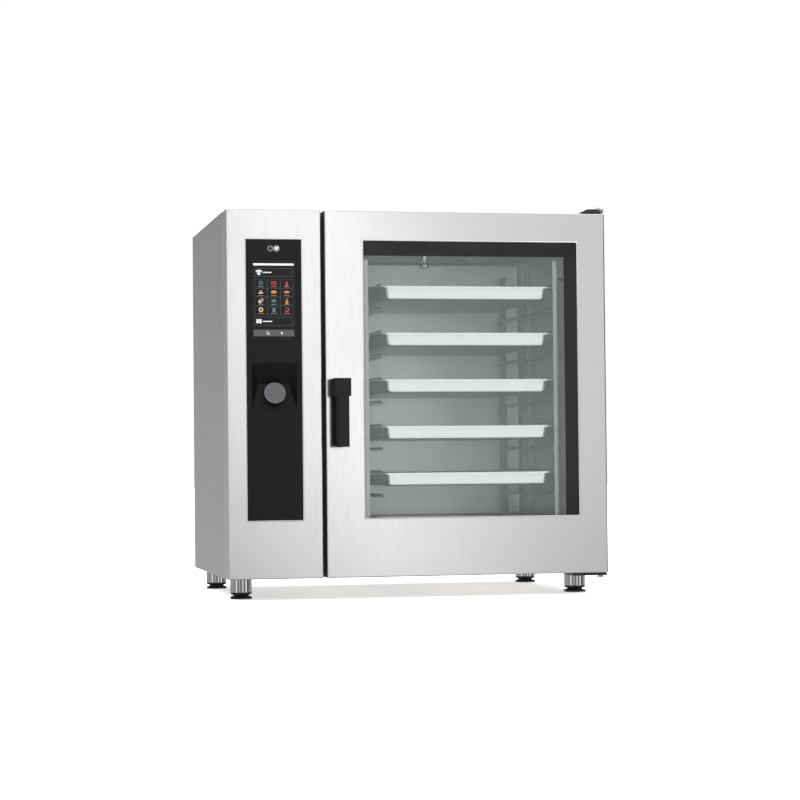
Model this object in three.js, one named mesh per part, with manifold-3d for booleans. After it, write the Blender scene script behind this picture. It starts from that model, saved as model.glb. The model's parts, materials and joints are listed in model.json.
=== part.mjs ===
// Combi steamer oven for gastronorm 2/1 containers, with a control column on
// the left and a glazed door hinged on the right.
// Millimetres, +Z up. X runs to the right, Y to the rear, so the door faces -Y.
// Origin: on the floor, under the middle of the bounding box.

import * as THREE from "three";
import Module from "manifold-3d";
import { mergeVertices } from "three/addons/utils/BufferGeometryUtils.js";

const wasm = await Module();
wasm.setup();

// ---- driving dimensions -------------------------------------------------

const WIDTH = 1150; // casing, side to side
const DEPTH = 870; // casing, door face to back panel
const FOOT_HEIGHT = 65; // floor to underside of casing
const TOP = 1150; // floor to casing top
const OVERHANG = 65; // handle in front of the door, drain stub behind the back

const SHEET = 1.5; // stainless sheet
const GAP = 0.3; // between pieces that touch

const COLUMN_RIGHT = -295; // right edge of the control column
const COLUMN_BACK = -340; // the column cover's side wall ends here
const DOOR_LEFT = -283; // left edge of the door
const DOOR_RIGHT = 574;
const DOOR_THICK = 60;
const SEAL_GAP = 8; // door back to front frame
const WINDOW = [-167, 487, 240, 1060]; // hole in the door skin: x0, x1, z0, z1
const SIGHT = [-156, 462, 238, 1021]; // clear opening behind the inner glass

const PANEL = [-517.5, -353.7, 236.6, 1061]; // black control panel
const DISPLAY = [-503, -369, 765, 1002]; // touch screen
const RECESS = [-502.6, -368.3, 551, 697.6]; // well around the knob
const RECESS_FOLD_Z = 637.5; // deepest line of the well
const RECESS_DEPTH = 23;
const KNOB_Z = 604; // knob axis on the well's lower face
const KNOB_RADIUS = 31;
const KNOB_HEIGHT = 21.2;
const KNOB_TRAVEL_GAP = 3.3; // under the knob, for its push

const CAVITY = [-290, 509, 180, 1065]; // inside of the liner
const CAVITY_BACK = 345;
const MOUTH = [-185, 505, 195, 1055]; // opening in the front frame
const WOOL = 34; // mineral wool round the liner

const CONTAINER_X = 174; // middle of the shelves
const CONTAINER_WIDTH = 530;
const CONTAINER_LENGTH = 650;
const CONTAINER_DEEP = 40;
const CONTAINER_FRONT = -325;
const SHELF_PITCH = 70.5;
const SHELF_COUNT = 11;
const LOWEST_RIM = 230.6; // top of the rim on the lowest shelf
const CONTAINER_COUNT = 6; // on every second shelf

const FAN_HEIGHTS = { upper: 845, lower: 405 };
const FAN_Y = -10;
const FAN_RADIUS = 150;

const HINGE_X = 560;
const HINGE_Y = -405;
const HANDLE_X = -243;
const HANDLE_Z = 625;

const LEG_X = 517;
const LEG_FRONT = -269;
const LEG_REAR = 328;

// ---- places worked out from them ----------------------------------------

const LEFT = -WIDTH / 2;
const RIGHT = WIDTH / 2;
const FRONT = -DEPTH / 2;
const BACK = DEPTH / 2;
const DOOR_BACK = FRONT + DOOR_THICK;
const FRAME_FRONT = DOOR_BACK + SEAL_GAP;
const PANELS_FRONT = COLUMN_BACK + GAP; // side, top and bottom sheets start here
const BACK_SHEET = BACK - SHEET; // inner face of the back panel
const DOOR_TOP = TOP - 1;
const LINER_FRONT = FRAME_FRONT + SHEET + GAP;
const KNOB_TILT = Math.atan2(RECESS_DEPTH, RECESS_FOLD_Z - RECESS[2]);

// ---- materials ----------------------------------------------------------

function finish(color, roughness, metalness) {
  return new THREE.MeshStandardMaterial({ color, roughness, metalness });
}

const brushedSteel = finish(0xc9cacb, 0.35, 1);
const chrome = finish(0xd8dadc, 0.12, 1);
const galvanised = finish(0xa9adb0, 0.5, 1);
const blackSteel = finish(0x1c1c1d, 0.45, 0.4);
const blackPlastic = finish(0x202022, 0.4, 0);
const greyPlastic = finish(0x6b6c6e, 0.45, 0);
const silicone = finish(0x2a2a2b, 0.8, 0);
const glass = finish(0xdfe6e6, 0.05, 0);
const wool = finish(0xb9a878, 0.95, 0);
const circuit = finish(0x1f5a35, 0.6, 0);
const brass = finish(0xb39a55, 0.35, 1);

// ---- shapes -------------------------------------------------------------

function toSolid(geometry) {
  geometry.deleteAttribute("normal");
  geometry.deleteAttribute("uv");
  const merged = mergeVertices(geometry, 1e-4);
  return new wasm.Manifold(new wasm.Mesh({
    numProp: 3,
    vertProperties: merged.attributes.position.array,
    triVerts: Uint32Array.from(merged.index.array),
  }));
}

function toGeometry(solid) {
  const mesh = solid.getMesh();
  const geometry = new THREE.BufferGeometry();
  geometry.setAttribute("position", new THREE.BufferAttribute(mesh.vertProperties, 3));
  geometry.setIndex(new THREE.BufferAttribute(mesh.triVerts, 1));
  geometry.computeVertexNormals();
  return geometry;
}

function join(...solids) {
  return solids.reduce((whole, next) => whole.add(next));
}

function cut(solid, ...tools) {
  return tools.reduce((rest, tool) => rest.subtract(tool), solid);
}

// A block between two corners.
function block(low, high) {
  const size = high.map((value, axis) => value - low[axis]);
  const geometry = new THREE.BoxGeometry(...size);
  geometry.translate(...low.map((value, axis) => value + size[axis] / 2));
  return toSolid(geometry);
}

// A block over the rectangle [x0, x1, z0, z1], between two depths, grown on
// all four sides by margin.
function slab([x0, x1, z0, z1], y0, y1, margin = 0) {
  return block([x0 - margin, y0, z0 - margin], [x1 + margin, y1, z1 + margin]);
}

// A rod along "x", "y" or "z". centre gives its place on the other two axes.
function rod(axis, radius, from, to, centre, segments = 24) {
  const geometry = new THREE.CylinderGeometry(radius, radius, to - from, segments);
  const middle = (from + to) / 2;
  if (axis === "x") {
    geometry.rotateZ(Math.PI / 2);
    geometry.translate(middle, centre[0], centre[1]);
  } else if (axis === "y") {
    geometry.translate(centre[0], middle, centre[1]);
  } else {
    geometry.rotateX(Math.PI / 2);
    geometry.translate(centre[0], centre[1], middle);
  }
  return toSolid(geometry);
}

// A turned solid about the Z axis. profile lists [radius, height] from the
// bottom of the axis to its top.
function turned(profile, segments = 24) {
  const points = profile.map(([radius, height]) => new THREE.Vector2(radius, height));
  const geometry = new THREE.LatheGeometry(points, segments);
  geometry.rotateX(Math.PI / 2);
  return toSolid(geometry);
}

// A block whose front rectangle, at y0, and back rectangle, at y1, differ.
function taperedSlab(front, back, y0, y1) {
  const corners = ([x0, x1, z0, z1], y) => [x0, y, z0, x1, y, z0, x1, y, z1, x0, y, z1];
  const geometry = new THREE.BufferGeometry();
  const positions = new Float32Array([...corners(front, y0), ...corners(back, y1)]);
  geometry.setAttribute("position", new THREE.BufferAttribute(positions, 3));
  geometry.setIndex([
    0, 1, 2, 0, 2, 3, 4, 6, 5, 4, 7, 6, 0, 4, 5, 0, 5, 1,
    1, 5, 6, 1, 6, 2, 2, 6, 7, 2, 7, 3, 3, 7, 4, 3, 4, 0,
  ]);
  return toSolid(geometry);
}

function roundedRectangle(width, height, radius) {
  const shape = new THREE.Shape();
  const x = width / 2 - radius;
  const y = height / 2 - radius;
  shape.absarc(x, y, radius, 0, Math.PI / 2);
  shape.absarc(-x, y, radius, Math.PI / 2, Math.PI);
  shape.absarc(-x, -y, radius, Math.PI, Math.PI * 1.5);
  shape.absarc(x, -y, radius, Math.PI * 1.5, Math.PI * 2);
  return shape;
}

// A shape in the XY plane raised from z0 to z1.
function raised(shape, z0, z1, curveSegments = 3) {
  const options = { depth: z1 - z0, bevelEnabled: false, curveSegments };
  const geometry = new THREE.ExtrudeGeometry(shape, options);
  geometry.translate(0, 0, z0);
  return toSolid(geometry);
}

// A shape drawn in Y (across) and Z (up), drawn out along X from x0 to x1.
function drawnAlongX(shape, x0, x1, curveSegments = 6) {
  const options = { depth: x1 - x0, bevelEnabled: false, curveSegments };
  const geometry = new THREE.ExtrudeGeometry(shape, options);
  const turn = new THREE.Matrix4().set(0, 0, 1, x0, 1, 0, 0, 0, 0, 1, 0, 0, 0, 0, 0, 1);
  geometry.applyMatrix4(turn);
  return toSolid(geometry);
}

// A shape drawn in X (across) and Z (up), as a plate from y0 to y1.
function plateAcrossY(shape, y0, y1, centre, curveSegments = 4) {
  const options = { depth: y1 - y0, bevelEnabled: false, curveSegments };
  const geometry = new THREE.ExtrudeGeometry(shape, options);
  geometry.rotateX(Math.PI / 2);
  geometry.translate(centre[0], y1, centre[1]);
  return toSolid(geometry);
}

const oven = new THREE.Group();

function addPiece(name, solid, material, parent = oven) {
  const mesh = new THREE.Mesh(toGeometry(solid), material);
  mesh.name = name;
  parent.add(mesh);
  return mesh;
}

// ---- casing -------------------------------------------------------------

const FRAME_RAIL = 90; // width of the flat rails that carry the legs
const FRAME_PLATE = 3;
const frameLow = [LEFT + SHEET + GAP, PANELS_FRONT + SHEET, FOOT_HEIGHT];
const frameHigh = [RIGHT - SHEET - GAP, BACK_SHEET - GAP, FOOT_HEIGHT + 30];

function makeBaseFrame() {
  const tray = cut(
    block(frameLow, frameHigh),
    block(
      [frameLow[0] + FRAME_PLATE, frameLow[1] + FRAME_PLATE, FOOT_HEIGHT + FRAME_PLATE],
      [frameHigh[0] - FRAME_PLATE, frameHigh[1] - FRAME_PLATE, frameHigh[2] + 1],
    ),
  );
  const bays = [[frameLow[0] + FRAME_RAIL, -60], [60, frameHigh[0] - FRAME_RAIL]];
  const openings = bays.map(([x0, x1]) => block(
    [x0, frameLow[1] + FRAME_RAIL, FOOT_HEIGHT - 1],
    [x1, frameHigh[1] - FRAME_RAIL, FOOT_HEIGHT + FRAME_PLATE + 1],
  ));
  return cut(tray, ...openings);
}
addPiece("base_frame", makeBaseFrame(), galvanised);

// A flat side sheet, with a folded lip along its bottom and top edges.
function makeSideSheet(outer, inward) {
  const lip = 18 * inward;
  const span = (a, b) => [Math.min(a, b), Math.max(a, b)];
  const [x0, x1] = span(outer, outer + SHEET * inward);
  const [lip0, lip1] = span(outer, outer + lip);
  const y1 = BACK_SHEET - GAP;
  const topLip = TOP - SHEET - GAP;
  return join(
    block([x0, PANELS_FRONT, FOOT_HEIGHT], [x1, y1, topLip]),
    block([lip0, PANELS_FRONT, topLip - SHEET], [lip1, y1, topLip]),
  );
}
addPiece("left_side_panel", makeSideSheet(LEFT, 1), brushedSteel);
addPiece("right_side_panel", makeSideSheet(RIGHT, -1), brushedSteel);

const CHIMNEY_X = 300;
const CHIMNEY_Y = 290;
const CHIMNEY_RADIUS = 30;

const topSheet = cut(
  block([LEFT, PANELS_FRONT, TOP - SHEET], [RIGHT, BACK_SHEET - GAP, TOP]),
  rod("z", CHIMNEY_RADIUS + 1, TOP - 10, TOP + 10, [CHIMNEY_X, CHIMNEY_Y]),
);
addPiece("top_panel", topSheet, brushedSteel);

const DRAIN = { x: 110, z: 118, radius: 20 };
const INLET = { x: -470, z: 170, radius: 13 };
const CABLE_ENTRY = { x: -540, z: 150, radius: 16 };
const LOUVRE_COUNT = 8;

function makeBackPanel() {
  const louvres = [];
  for (let i = 0; i < LOUVRE_COUNT; i += 1) {
    const z = 820 + i * 26;
    louvres.push(block([-540, BACK_SHEET - 1, z], [-360, BACK + 1, z + 8]));
  }
  const holes = [DRAIN, INLET, CABLE_ENTRY].map(({ x, z, radius }) => (
    rod("y", radius + 1, BACK_SHEET - 1, BACK + 1, [x, z])
  ));
  const sheet = block([LEFT, BACK_SHEET, FOOT_HEIGHT], [RIGHT, BACK, TOP]);
  return cut(sheet, ...holes, ...louvres);
}
addPiece("back_panel", makeBackPanel(), brushedSteel);

// The column cover is a pan that opens to the rear, with a hole for the panel.
const columnOuter = [LEFT, COLUMN_RIGHT, FOOT_HEIGHT, TOP];
const columnCover = cut(
  slab(columnOuter, FRONT, COLUMN_BACK),
  slab(columnOuter, FRONT + SHEET, COLUMN_BACK + 1, -SHEET),
  slab(PANEL, FRONT - 1, FRONT + SHEET + 1),
);
addPiece("column_cover", columnCover, brushedSteel);

// ---- front frame and cavity ---------------------------------------------

const frameOuter = [COLUMN_RIGHT + GAP, RIGHT, FOOT_HEIGHT, TOP];
const LATCH_HOLE = [HANDLE_X - 22, HANDLE_X + 22, HANDLE_Z - 22, HANDLE_Z + 22];
const frontFrame = cut(
  slab(frameOuter, FRAME_FRONT, COLUMN_BACK),
  slab(frameOuter, FRAME_FRONT + SHEET, COLUMN_BACK + 1, -SHEET),
  slab(MOUTH, FRAME_FRONT - 1, FRAME_FRONT + SHEET + 1),
  slab(LATCH_HOLE, FRAME_FRONT - 1, FRAME_FRONT + SHEET + 1),
);
addPiece("front_frame", frontFrame, brushedSteel);

const STEAM = { y: 260, z: 620, radius: 16 };
const SHAFT_RADIUS = 9;
const shaftHoles = Object.values(FAN_HEIGHTS).map((z) => (
  rod("x", SHAFT_RADIUS + 4, CAVITY[0] - WOOL - 10, CAVITY[0] + 10, [FAN_Y, z])
));
const steamHole = rod("x", STEAM.radius + 1, CAVITY[0] - WOOL - 10, CAVITY[0] + 10, [
  STEAM.y, STEAM.z,
]);
const drainHole = rod("z", DRAIN.radius + 1, CAVITY[2] - WOOL - 10, CAVITY[2] + 10, [
  DRAIN.x, FAN_Y,
]);
const ventHole = rod("z", CHIMNEY_RADIUS + 1, CAVITY[3] - 10, CAVITY[3] + WOOL + 10, [
  CHIMNEY_X, CHIMNEY_Y,
]);
const cavityHoles = [...shaftHoles, steamHole, drainHole, ventHole];

const cavityLiner = cut(
  slab(CAVITY, LINER_FRONT, CAVITY_BACK + SHEET, SHEET),
  slab(CAVITY, LINER_FRONT - 1, CAVITY_BACK),
  ...cavityHoles,
);
addPiece("cavity_liner", cavityLiner, brushedSteel);

const WOOL_FRONT = COLUMN_BACK + 5;
const jacket = cut(
  slab(CAVITY, WOOL_FRONT, CAVITY_BACK + WOOL, WOOL),
  slab(CAVITY, WOOL_FRONT - 1, CAVITY_BACK + SHEET + GAP, SHEET + GAP),
  ...cavityHoles,
);
addPiece("insulation_jacket", jacket, wool);

// The seal is a rounded ring round the mouth, between frame and door.
const SEAL_WIDTH = 16;
function makeDoorSeal() {
  const [x0, x1, z0, z1] = MOUTH;
  const centre = [(x0 + x1) / 2, (z0 + z1) / 2];
  const inner = [x1 - x0 + 10, z1 - z0 + 10];
  const outerShape = roundedRectangle(inner[0] + 2 * SEAL_WIDTH, inner[1] + 2 * SEAL_WIDTH, 28);
  const innerShape = roundedRectangle(inner[0], inner[1], 12);
  return cut(
    plateAcrossY(outerShape, DOOR_BACK + GAP, FRAME_FRONT - GAP, centre),
    plateAcrossY(innerShape, DOOR_BACK, FRAME_FRONT, centre),
  );
}
addPiece("door_seal", makeDoorSeal(), silicone);

// ---- shelf racks --------------------------------------------------------

const RAIL_THICK = 1.5;
const RAIL_WIDTH = 14;
const RIM_SIDE = CONTAINER_WIDTH / 2; // rim edge from the shelf middle
const POST_SIZE = 14;
const RACK_BOTTOM = 186;
const RACK_TOP = 1014;
const postPlaces = [CONTAINER_FRONT, -POST_SIZE / 2, -CONTAINER_FRONT - POST_SIZE];

// One rack, for the side that sign points to (-1 left, +1 right). reach is how
// far its posts stand from the rails, and wall is the face it hangs on.
function makeRack(sign, reach, wall) {
  const across = (a, b) => {
    const ends = [CONTAINER_X + sign * a, CONTAINER_X + sign * b];
    return [Math.min(...ends), Math.max(...ends)];
  };
  const web = RIM_SIDE + 1.5;
  const postSide = web + RAIL_THICK + reach;
  const pieces = [];
  for (let shelf = 0; shelf < SHELF_COUNT; shelf += 1) {
    const z1 = LOWEST_RIM + shelf * SHELF_PITCH - 2;
    const [x0, x1] = across(web - RAIL_WIDTH, postSide + 1);
    const [w0, w1] = across(web, web + RAIL_THICK);
    pieces.push(block([x0, CONTAINER_FRONT, z1 - RAIL_THICK], [x1, -CONTAINER_FRONT, z1]));
    pieces.push(block([w0, CONTAINER_FRONT, z1 - 1], [w1, -CONTAINER_FRONT, z1 + 10]));
  }
  const [p0, p1] = across(postSide, postSide + POST_SIZE);
  for (const y of postPlaces) {
    pieces.push(block([p0, y, RACK_BOTTOM], [p1, y + POST_SIZE, RACK_TOP]));
    const [a0, a1] = across(postSide + POST_SIZE - 1, sign * (wall - CONTAINER_X) - GAP);
    for (const z of [RACK_BOTTOM + 40, RACK_TOP - 60]) {
      pieces.push(block([a0, y + 1, z], [a1, y + POST_SIZE - 1, z + 8]));
    }
  }
  return join(...pieces);
}

const BAFFLE_X = -190; // face that the left rack hangs on
addPiece("rack_left", makeRack(-1, 38, BAFFLE_X + SHEET), brushedSteel);
addPiece("rack_right", makeRack(1, 0.5, CAVITY[1]), brushedSteel);

// ---- gastronorm containers ----------------------------------------------

const CONTAINER_WALL = 1;
const RIM_WIDTH = 14;
const RIM_THICK = 1.5;

// Modelled with the top of its rim at height 0 and its middle over the origin.
function makeContainer() {
  const width = CONTAINER_WIDTH - 2 * RIM_WIDTH;
  const length = CONTAINER_LENGTH - 2 * RIM_WIDTH;
  const rim = raised(roundedRectangle(CONTAINER_WIDTH, CONTAINER_LENGTH, 22), -RIM_THICK, 0);
  const body = raised(roundedRectangle(width, length, 30), -CONTAINER_DEEP, -RIM_THICK / 2);
  const inside = raised(
    roundedRectangle(width - 2 * CONTAINER_WALL, length - 2 * CONTAINER_WALL, 29),
    -CONTAINER_DEEP + CONTAINER_WALL,
    1,
  );
  return cut(join(rim, body), inside);
}

for (let i = 0; i < CONTAINER_COUNT; i += 1) {
  const container = addPiece(`gn_container_${i + 1}`, makeContainer(), brushedSteel);
  container.position.set(CONTAINER_X, 0, LOWEST_RIM + 2 * i * SHELF_PITCH);
}

// ---- fans, heaters and baffle -------------------------------------------

const BAFFLE_HALF = 300;
const GRILLE_RADIUS = 110;
const GRILLE_STEP = 20;

function makeBaffle() {
  const low = CAVITY[2] + GAP;
  const high = CAVITY[3] - GAP;
  const wall = CAVITY[0] + GAP;
  const channel = cut(
    block([wall, -BAFFLE_HALF, low], [BAFFLE_X + SHEET, BAFFLE_HALF, high]),
    block([wall - 1, -BAFFLE_HALF - 1, low + SHEET], [BAFFLE_X, BAFFLE_HALF + 1, high - SHEET]),
  );
  const slots = [];
  for (const height of Object.values(FAN_HEIGHTS)) {
    for (let row = -5; row <= 5; row += 1) {
      const z = height + row * GRILLE_STEP;
      const half = Math.sqrt(GRILLE_RADIUS ** 2 - (row * GRILLE_STEP) ** 2);
      slots.push(block(
        [BAFFLE_X - 1, FAN_Y - half, z - 6],
        [BAFFLE_X + SHEET + 1, FAN_Y + half, z + 6],
      ));
    }
  }
  return cut(channel, ...slots);
}
addPiece("fan_baffle", makeBaffle(), brushedSteel);

const BLADE_COUNT = 10;
const WHEEL_BACK = 18; // cavity wall to the wheel's back plate
const WHEEL_DEPTH = 55;
const SHAFT_LENGTH = 90; // behind the back plate

// Modelled about the X axis, with its back plate at x = 0.
function makeFanWheel() {
  const blades = [];
  for (let i = 0; i < BLADE_COUNT; i += 1) {
    const blade = block([1, -1, 70], [WHEEL_DEPTH, 1, FAN_RADIUS - 2]);
    blades.push(blade.rotate([i * 360 / BLADE_COUNT, 0, 0]));
  }
  return join(
    rod("x", FAN_RADIUS, 0, 2, [0, 0], 24),
    rod("x", 22, 1, 40, [0, 0], 16),
    rod("x", SHAFT_RADIUS, -SHAFT_LENGTH, 1, [0, 0], 16),
    ...blades,
  );
}

const HEATER_RADIUS = 185;
const HEATER_TUBE = 5;

// Two rings of heating tube held together by three clips, about the X axis.
function makeRingHeater() {
  const pieces = [];
  for (const x of [-12, 12]) {
    const ring = new THREE.TorusGeometry(HEATER_RADIUS, HEATER_TUBE, 5, 24);
    ring.rotateY(Math.PI / 2);
    ring.translate(x, 0, 0);
    pieces.push(toSolid(ring));
  }
  for (let i = 0; i < 3; i += 1) {
    const clip = block([-30, -8, HEATER_RADIUS - 1.5], [14, 8, HEATER_RADIUS + 1.5]);
    pieces.push(clip.rotate([i * 120, 0, 0]));
  }
  return join(...pieces);
}

const MOTOR_RADIUS = 62;
const MOTOR_LENGTH = 150;
const motorFace = CAVITY[0] - WOOL - 1;

// Modelled about the X axis, with its mounting flange at x = 0.
function makeFanMotor() {
  const solid = join(
    block([-4, -80, -80], [0, 80, 80]),
    rod("x", MOTOR_RADIUS, -MOTOR_LENGTH, -1, [0, 0], 24),
  );
  return cut(solid, rod("x", SHAFT_RADIUS + 1, -60, 1, [0, 0], 16));
}

for (const [level, z] of Object.entries(FAN_HEIGHTS)) {
  const wheel = addPiece(`fan_wheel_${level}`, makeFanWheel(), brushedSteel);
  wheel.position.set(CAVITY[0] + WHEEL_BACK, FAN_Y, z);
  const heater = addPiece(`ring_heater_${level}`, makeRingHeater(), blackSteel);
  heater.position.set(CAVITY[0] + 45, FAN_Y, z);
  const motor = addPiece(`fan_motor_${level}`, makeFanMotor(), galvanised);
  motor.position.set(motorFace, FAN_Y, z);
}

// ---- cavity fittings ----------------------------------------------------

const LAMP_X = -120;
const LAMP_Z = 1010;
const lamp = join(
  rod("y", 34, CAVITY_BACK - 8, CAVITY_BACK - GAP, [LAMP_X, LAMP_Z], 24),
  rod("y", 28, CAVITY_BACK - 16, CAVITY_BACK - 7, [LAMP_X, LAMP_Z], 24),
);
addPiece("cavity_lamp", lamp, glass);

const washNozzle = addPiece("wash_nozzle", turned([
  [0, -52], [12, -50], [15, -40], [10, -30], [10, -8], [22, -6], [22, 0], [0, 0],
]), chrome);
washNozzle.position.set(DRAIN.x, FAN_Y, CAVITY[3] - GAP);

function makeStrainer() {
  const holes = [];
  for (let i = 0; i < 8; i += 1) {
    const hole = rod("z", 5, -1, 5, [26, 0], 6);
    holes.push(hole.rotate([0, 0, i * 45]));
  }
  return cut(rod("z", 42, 0, 3, [0, 0], 20), ...holes);
}
const strainer = addPiece("drain_strainer", makeStrainer(), brushedSteel);
strainer.position.set(DRAIN.x, FAN_Y, CAVITY[2] + GAP);

const DRAIN_BEND = 26;

// The drain drops from the cavity floor and turns to leave at the back.
function makeDrainPipe() {
  const { x, z } = DRAIN;
  const bendTop = new THREE.Vector3(x, FAN_Y, z + DRAIN_BEND);
  const corner = new THREE.Vector3(x, FAN_Y, z);
  const bendEnd = new THREE.Vector3(x, FAN_Y + DRAIN_BEND, z);
  const bend = new THREE.QuadraticBezierCurve3(bendTop, corner, bendEnd);
  const makeTube = (radius, extra) => {
    const section = new THREE.Shape().absarc(0, 0, radius, 0, Math.PI * 2);
    const options = { steps: 8, extrudePath: bend, curveSegments: 8 };
    return join(
      toSolid(new THREE.ExtrudeGeometry(section, options)),
      rod("z", radius, bendTop.z - 0.5, CAVITY[2] - SHEET - GAP + extra, [x, FAN_Y], 16),
      rod("y", radius, bendEnd.y - 0.5, BACK + OVERHANG + extra, [x, z], 16),
    );
  };
  return cut(makeTube(DRAIN.radius, 0), makeTube(DRAIN.radius - 1.5, 1));
}
addPiece("drain_pipe", makeDrainPipe(), brushedSteel);

const CHIMNEY_TOP = TOP + 65;
const chimneyPlace = [CHIMNEY_X, CHIMNEY_Y];
addPiece("vent_chimney", cut(
  join(
    rod("z", CHIMNEY_RADIUS, CAVITY[3] + SHEET + GAP, CHIMNEY_TOP, chimneyPlace, 20),
    rod("z", CHIMNEY_RADIUS + 3, CHIMNEY_TOP - 6, CHIMNEY_TOP, chimneyPlace, 20),
    rod("z", CHIMNEY_RADIUS + 14, TOP + GAP, TOP + 3, chimneyPlace, 20),
  ),
  rod("z", CHIMNEY_RADIUS - 2, CAVITY[3], CHIMNEY_TOP + 1, chimneyPlace, 20),
), brushedSteel);

// ---- technical compartment ----------------------------------------------

const BOILER = { x: -450, y: STEAM.y, radius: 95, bottom: 108, top: 700 };

function makeBoiler() {
  const { x, y, radius, bottom, top } = BOILER;
  const wall = 2;
  const pipeEnd = CAVITY[0] - SHEET - GAP;
  const shell = join(
    rod("z", radius, bottom, top, [x, y], 32),
    rod("x", STEAM.radius, x, pipeEnd, [STEAM.y, STEAM.z], 20),
  );
  const inside = join(
    rod("z", radius - wall, bottom + wall, top - wall, [x, y], 32),
    rod("x", STEAM.radius - wall, x, pipeEnd + 1, [STEAM.y, STEAM.z], 20),
  );
  return cut(shell, inside);
}
addPiece("steam_boiler", makeBoiler(), brushedSteel);

const valve = join(
  block([INLET.x - 28, 372, INLET.z - 25], [INLET.x + 28, 415, INLET.z + 25]),
  rod("y", INLET.radius, 414, BACK + 32, [INLET.x, INLET.z], 20),
  rod("z", 16, INLET.z + 24, INLET.z + 62, [INLET.x, 393], 16),
);
addPiece("water_inlet_valve", valve, brass);

const glandPlace = [CABLE_ENTRY.x, CABLE_ENTRY.z];
addPiece("cable_gland", cut(
  join(
    rod("y", CABLE_ENTRY.radius, BACK_SHEET - 18, BACK + 8, glandPlace, 20),
    rod("y", 22, BACK_SHEET - 10, BACK_SHEET - GAP, glandPlace, 6),
    rod("y", 22, BACK + GAP, BACK + 10, glandPlace, 6),
    rod("y", 19, BACK + 9, BACK + 26, glandPlace, 20),
  ),
  rod("y", 10, BACK_SHEET - 19, BACK + 27, glandPlace, 16),
), blackPlastic);

const contactors = [block([-565, 385, 880], [-345, 391, 1020])];
for (const x of [-555, -485, -415]) {
  contactors.push(block([x, 330, 900], [x + 55, 386, 1000]));
}
addPiece("contactor_block", join(...contactors), greyPlastic);

// ---- control panel ------------------------------------------------------

const PANEL_FACE = FRONT - 1;
const knobGroup = new THREE.Group();
const wellSlope = RECESS_DEPTH / (RECESS_FOLD_Z - RECESS[2]);
knobGroup.position.set(
  (PANEL[0] + PANEL[1]) / 2,
  FRONT + (KNOB_Z - RECESS[2]) * wellSlope,
  KNOB_Z,
);
knobGroup.rotation.x = Math.PI / 2 - KNOB_TILT; // local Z points out of the well
knobGroup.updateMatrixWorld();
oven.add(knobGroup);

function placedLikeKnob(solid) {
  const geometry = toGeometry(solid);
  geometry.applyMatrix4(knobGroup.matrixWorld);
  return toSolid(geometry);
}

function makeControlPanel() {
  const [x0, x1, z0] = RECESS;
  const fold = [x0 + 20, x1 - 20, RECESS_FOLD_Z - 0.5, RECESS_FOLD_Z + 0.5];
  const well = taperedSlab(RECESS, fold, FRONT, FRONT + RECESS_DEPTH);
  const wellMouth = slab(RECESS, PANEL_FACE - 1, FRONT + 0.01);
  const plate = slab(PANEL, PANEL_FACE, FRONT + 4, -GAP);
  const lip = slab(PANEL, FRONT + SHEET + GAP, FRONT + 4, 8);
  const tub = block([x0 - 6, FRONT + 3, z0 - 6], [x1 + 6, FRONT + RECESS_DEPTH + 6, 706]);
  const shaftHole = placedLikeKnob(rod("z", 5, -30, 10, [0, 0], 16));
  const screenHole = slab(DISPLAY, PANEL_FACE - 1, FRONT + 5);
  return cut(join(plate, lip, tub), well, wellMouth, shaftHole, screenHole);
}
addPiece("control_panel", makeControlPanel(), blackPlastic);

addPiece("touch_display", slab(DISPLAY, PANEL_FACE, FRONT + 8, -GAP), glass);

const boardFront = FRONT + 20;
addPiece("control_board", join(
  slab(DISPLAY, boardFront, boardFront + 2, -4),
  block([-480, boardFront + 1, 820], [-420, boardFront + 14, 880]),
  block([-410, boardFront + 1, 900], [-385, boardFront + 20, 960]),
), circuit);

const knobBase = KNOB_TRAVEL_GAP;
const knobTop = knobBase + KNOB_HEIGHT;
addPiece("control_knob", cut(
  turned([
    [0, knobBase], [KNOB_RADIUS - 1, knobBase], [KNOB_RADIUS, knobBase + 2],
    [KNOB_RADIUS, knobTop - 2], [KNOB_RADIUS - 2, knobTop], [0, knobTop],
  ], 40),
  rod("z", 4.3, knobBase - 1, knobBase + 14, [0, 0], 16),
), greyPlastic, knobGroup);
addPiece("encoder_shaft", rod("z", 4, -33, knobBase + 13.5, [0, 0], 16), chrome, knobGroup);
addPiece("encoder_body", cut(
  block([-9, -9, -38], [9, 9, -19]),
  rod("z", 4.3, -36, -18, [0, 0], 16),
), galvanised, knobGroup);

// ---- door ---------------------------------------------------------------

const doorOuter = [DOOR_LEFT, DOOR_RIGHT, FOOT_HEIGHT, DOOR_TOP];
const PIN_RADIUS = 6;
const pinHole = rod("z", PIN_RADIUS + GAP, FOOT_HEIGHT - 1, DOOR_TOP + 1, [HINGE_X, HINGE_Y], 16);
const handleHole = rod("y", 9, FRONT - 1, DOOR_BACK + 1, [HANDLE_X, HANDLE_Z], 20);
const INNER_SHEET = DOOR_BACK - SHEET; // front face of the inner panel

// The skin is a pan that opens to the rear.
addPiece("door_skin", cut(
  slab(doorOuter, FRONT, INNER_SHEET - GAP),
  slab(doorOuter, FRONT + SHEET, INNER_SHEET + 1, -SHEET),
  slab(WINDOW, FRONT - 1, FRONT + SHEET + 1),
  pinHole,
  handleHole,
), brushedSteel);

addPiece("door_inner_panel", cut(
  slab(doorOuter, INNER_SHEET, DOOR_BACK),
  slab(SIGHT, INNER_SHEET - 1, DOOR_BACK + 1),
  handleHole,
), brushedSteel);

const PANE = 4;
const outerPaneFront = FRONT + SHEET + GAP;
const innerPaneFront = INNER_SHEET - GAP - PANE;
addPiece("door_outer_glass", slab(WINDOW, outerPaneFront, outerPaneFront + PANE, 18), glass);
addPiece("door_inner_glass", slab(SIGHT, innerPaneFront, innerPaneFront + PANE, 12), glass);

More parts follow.
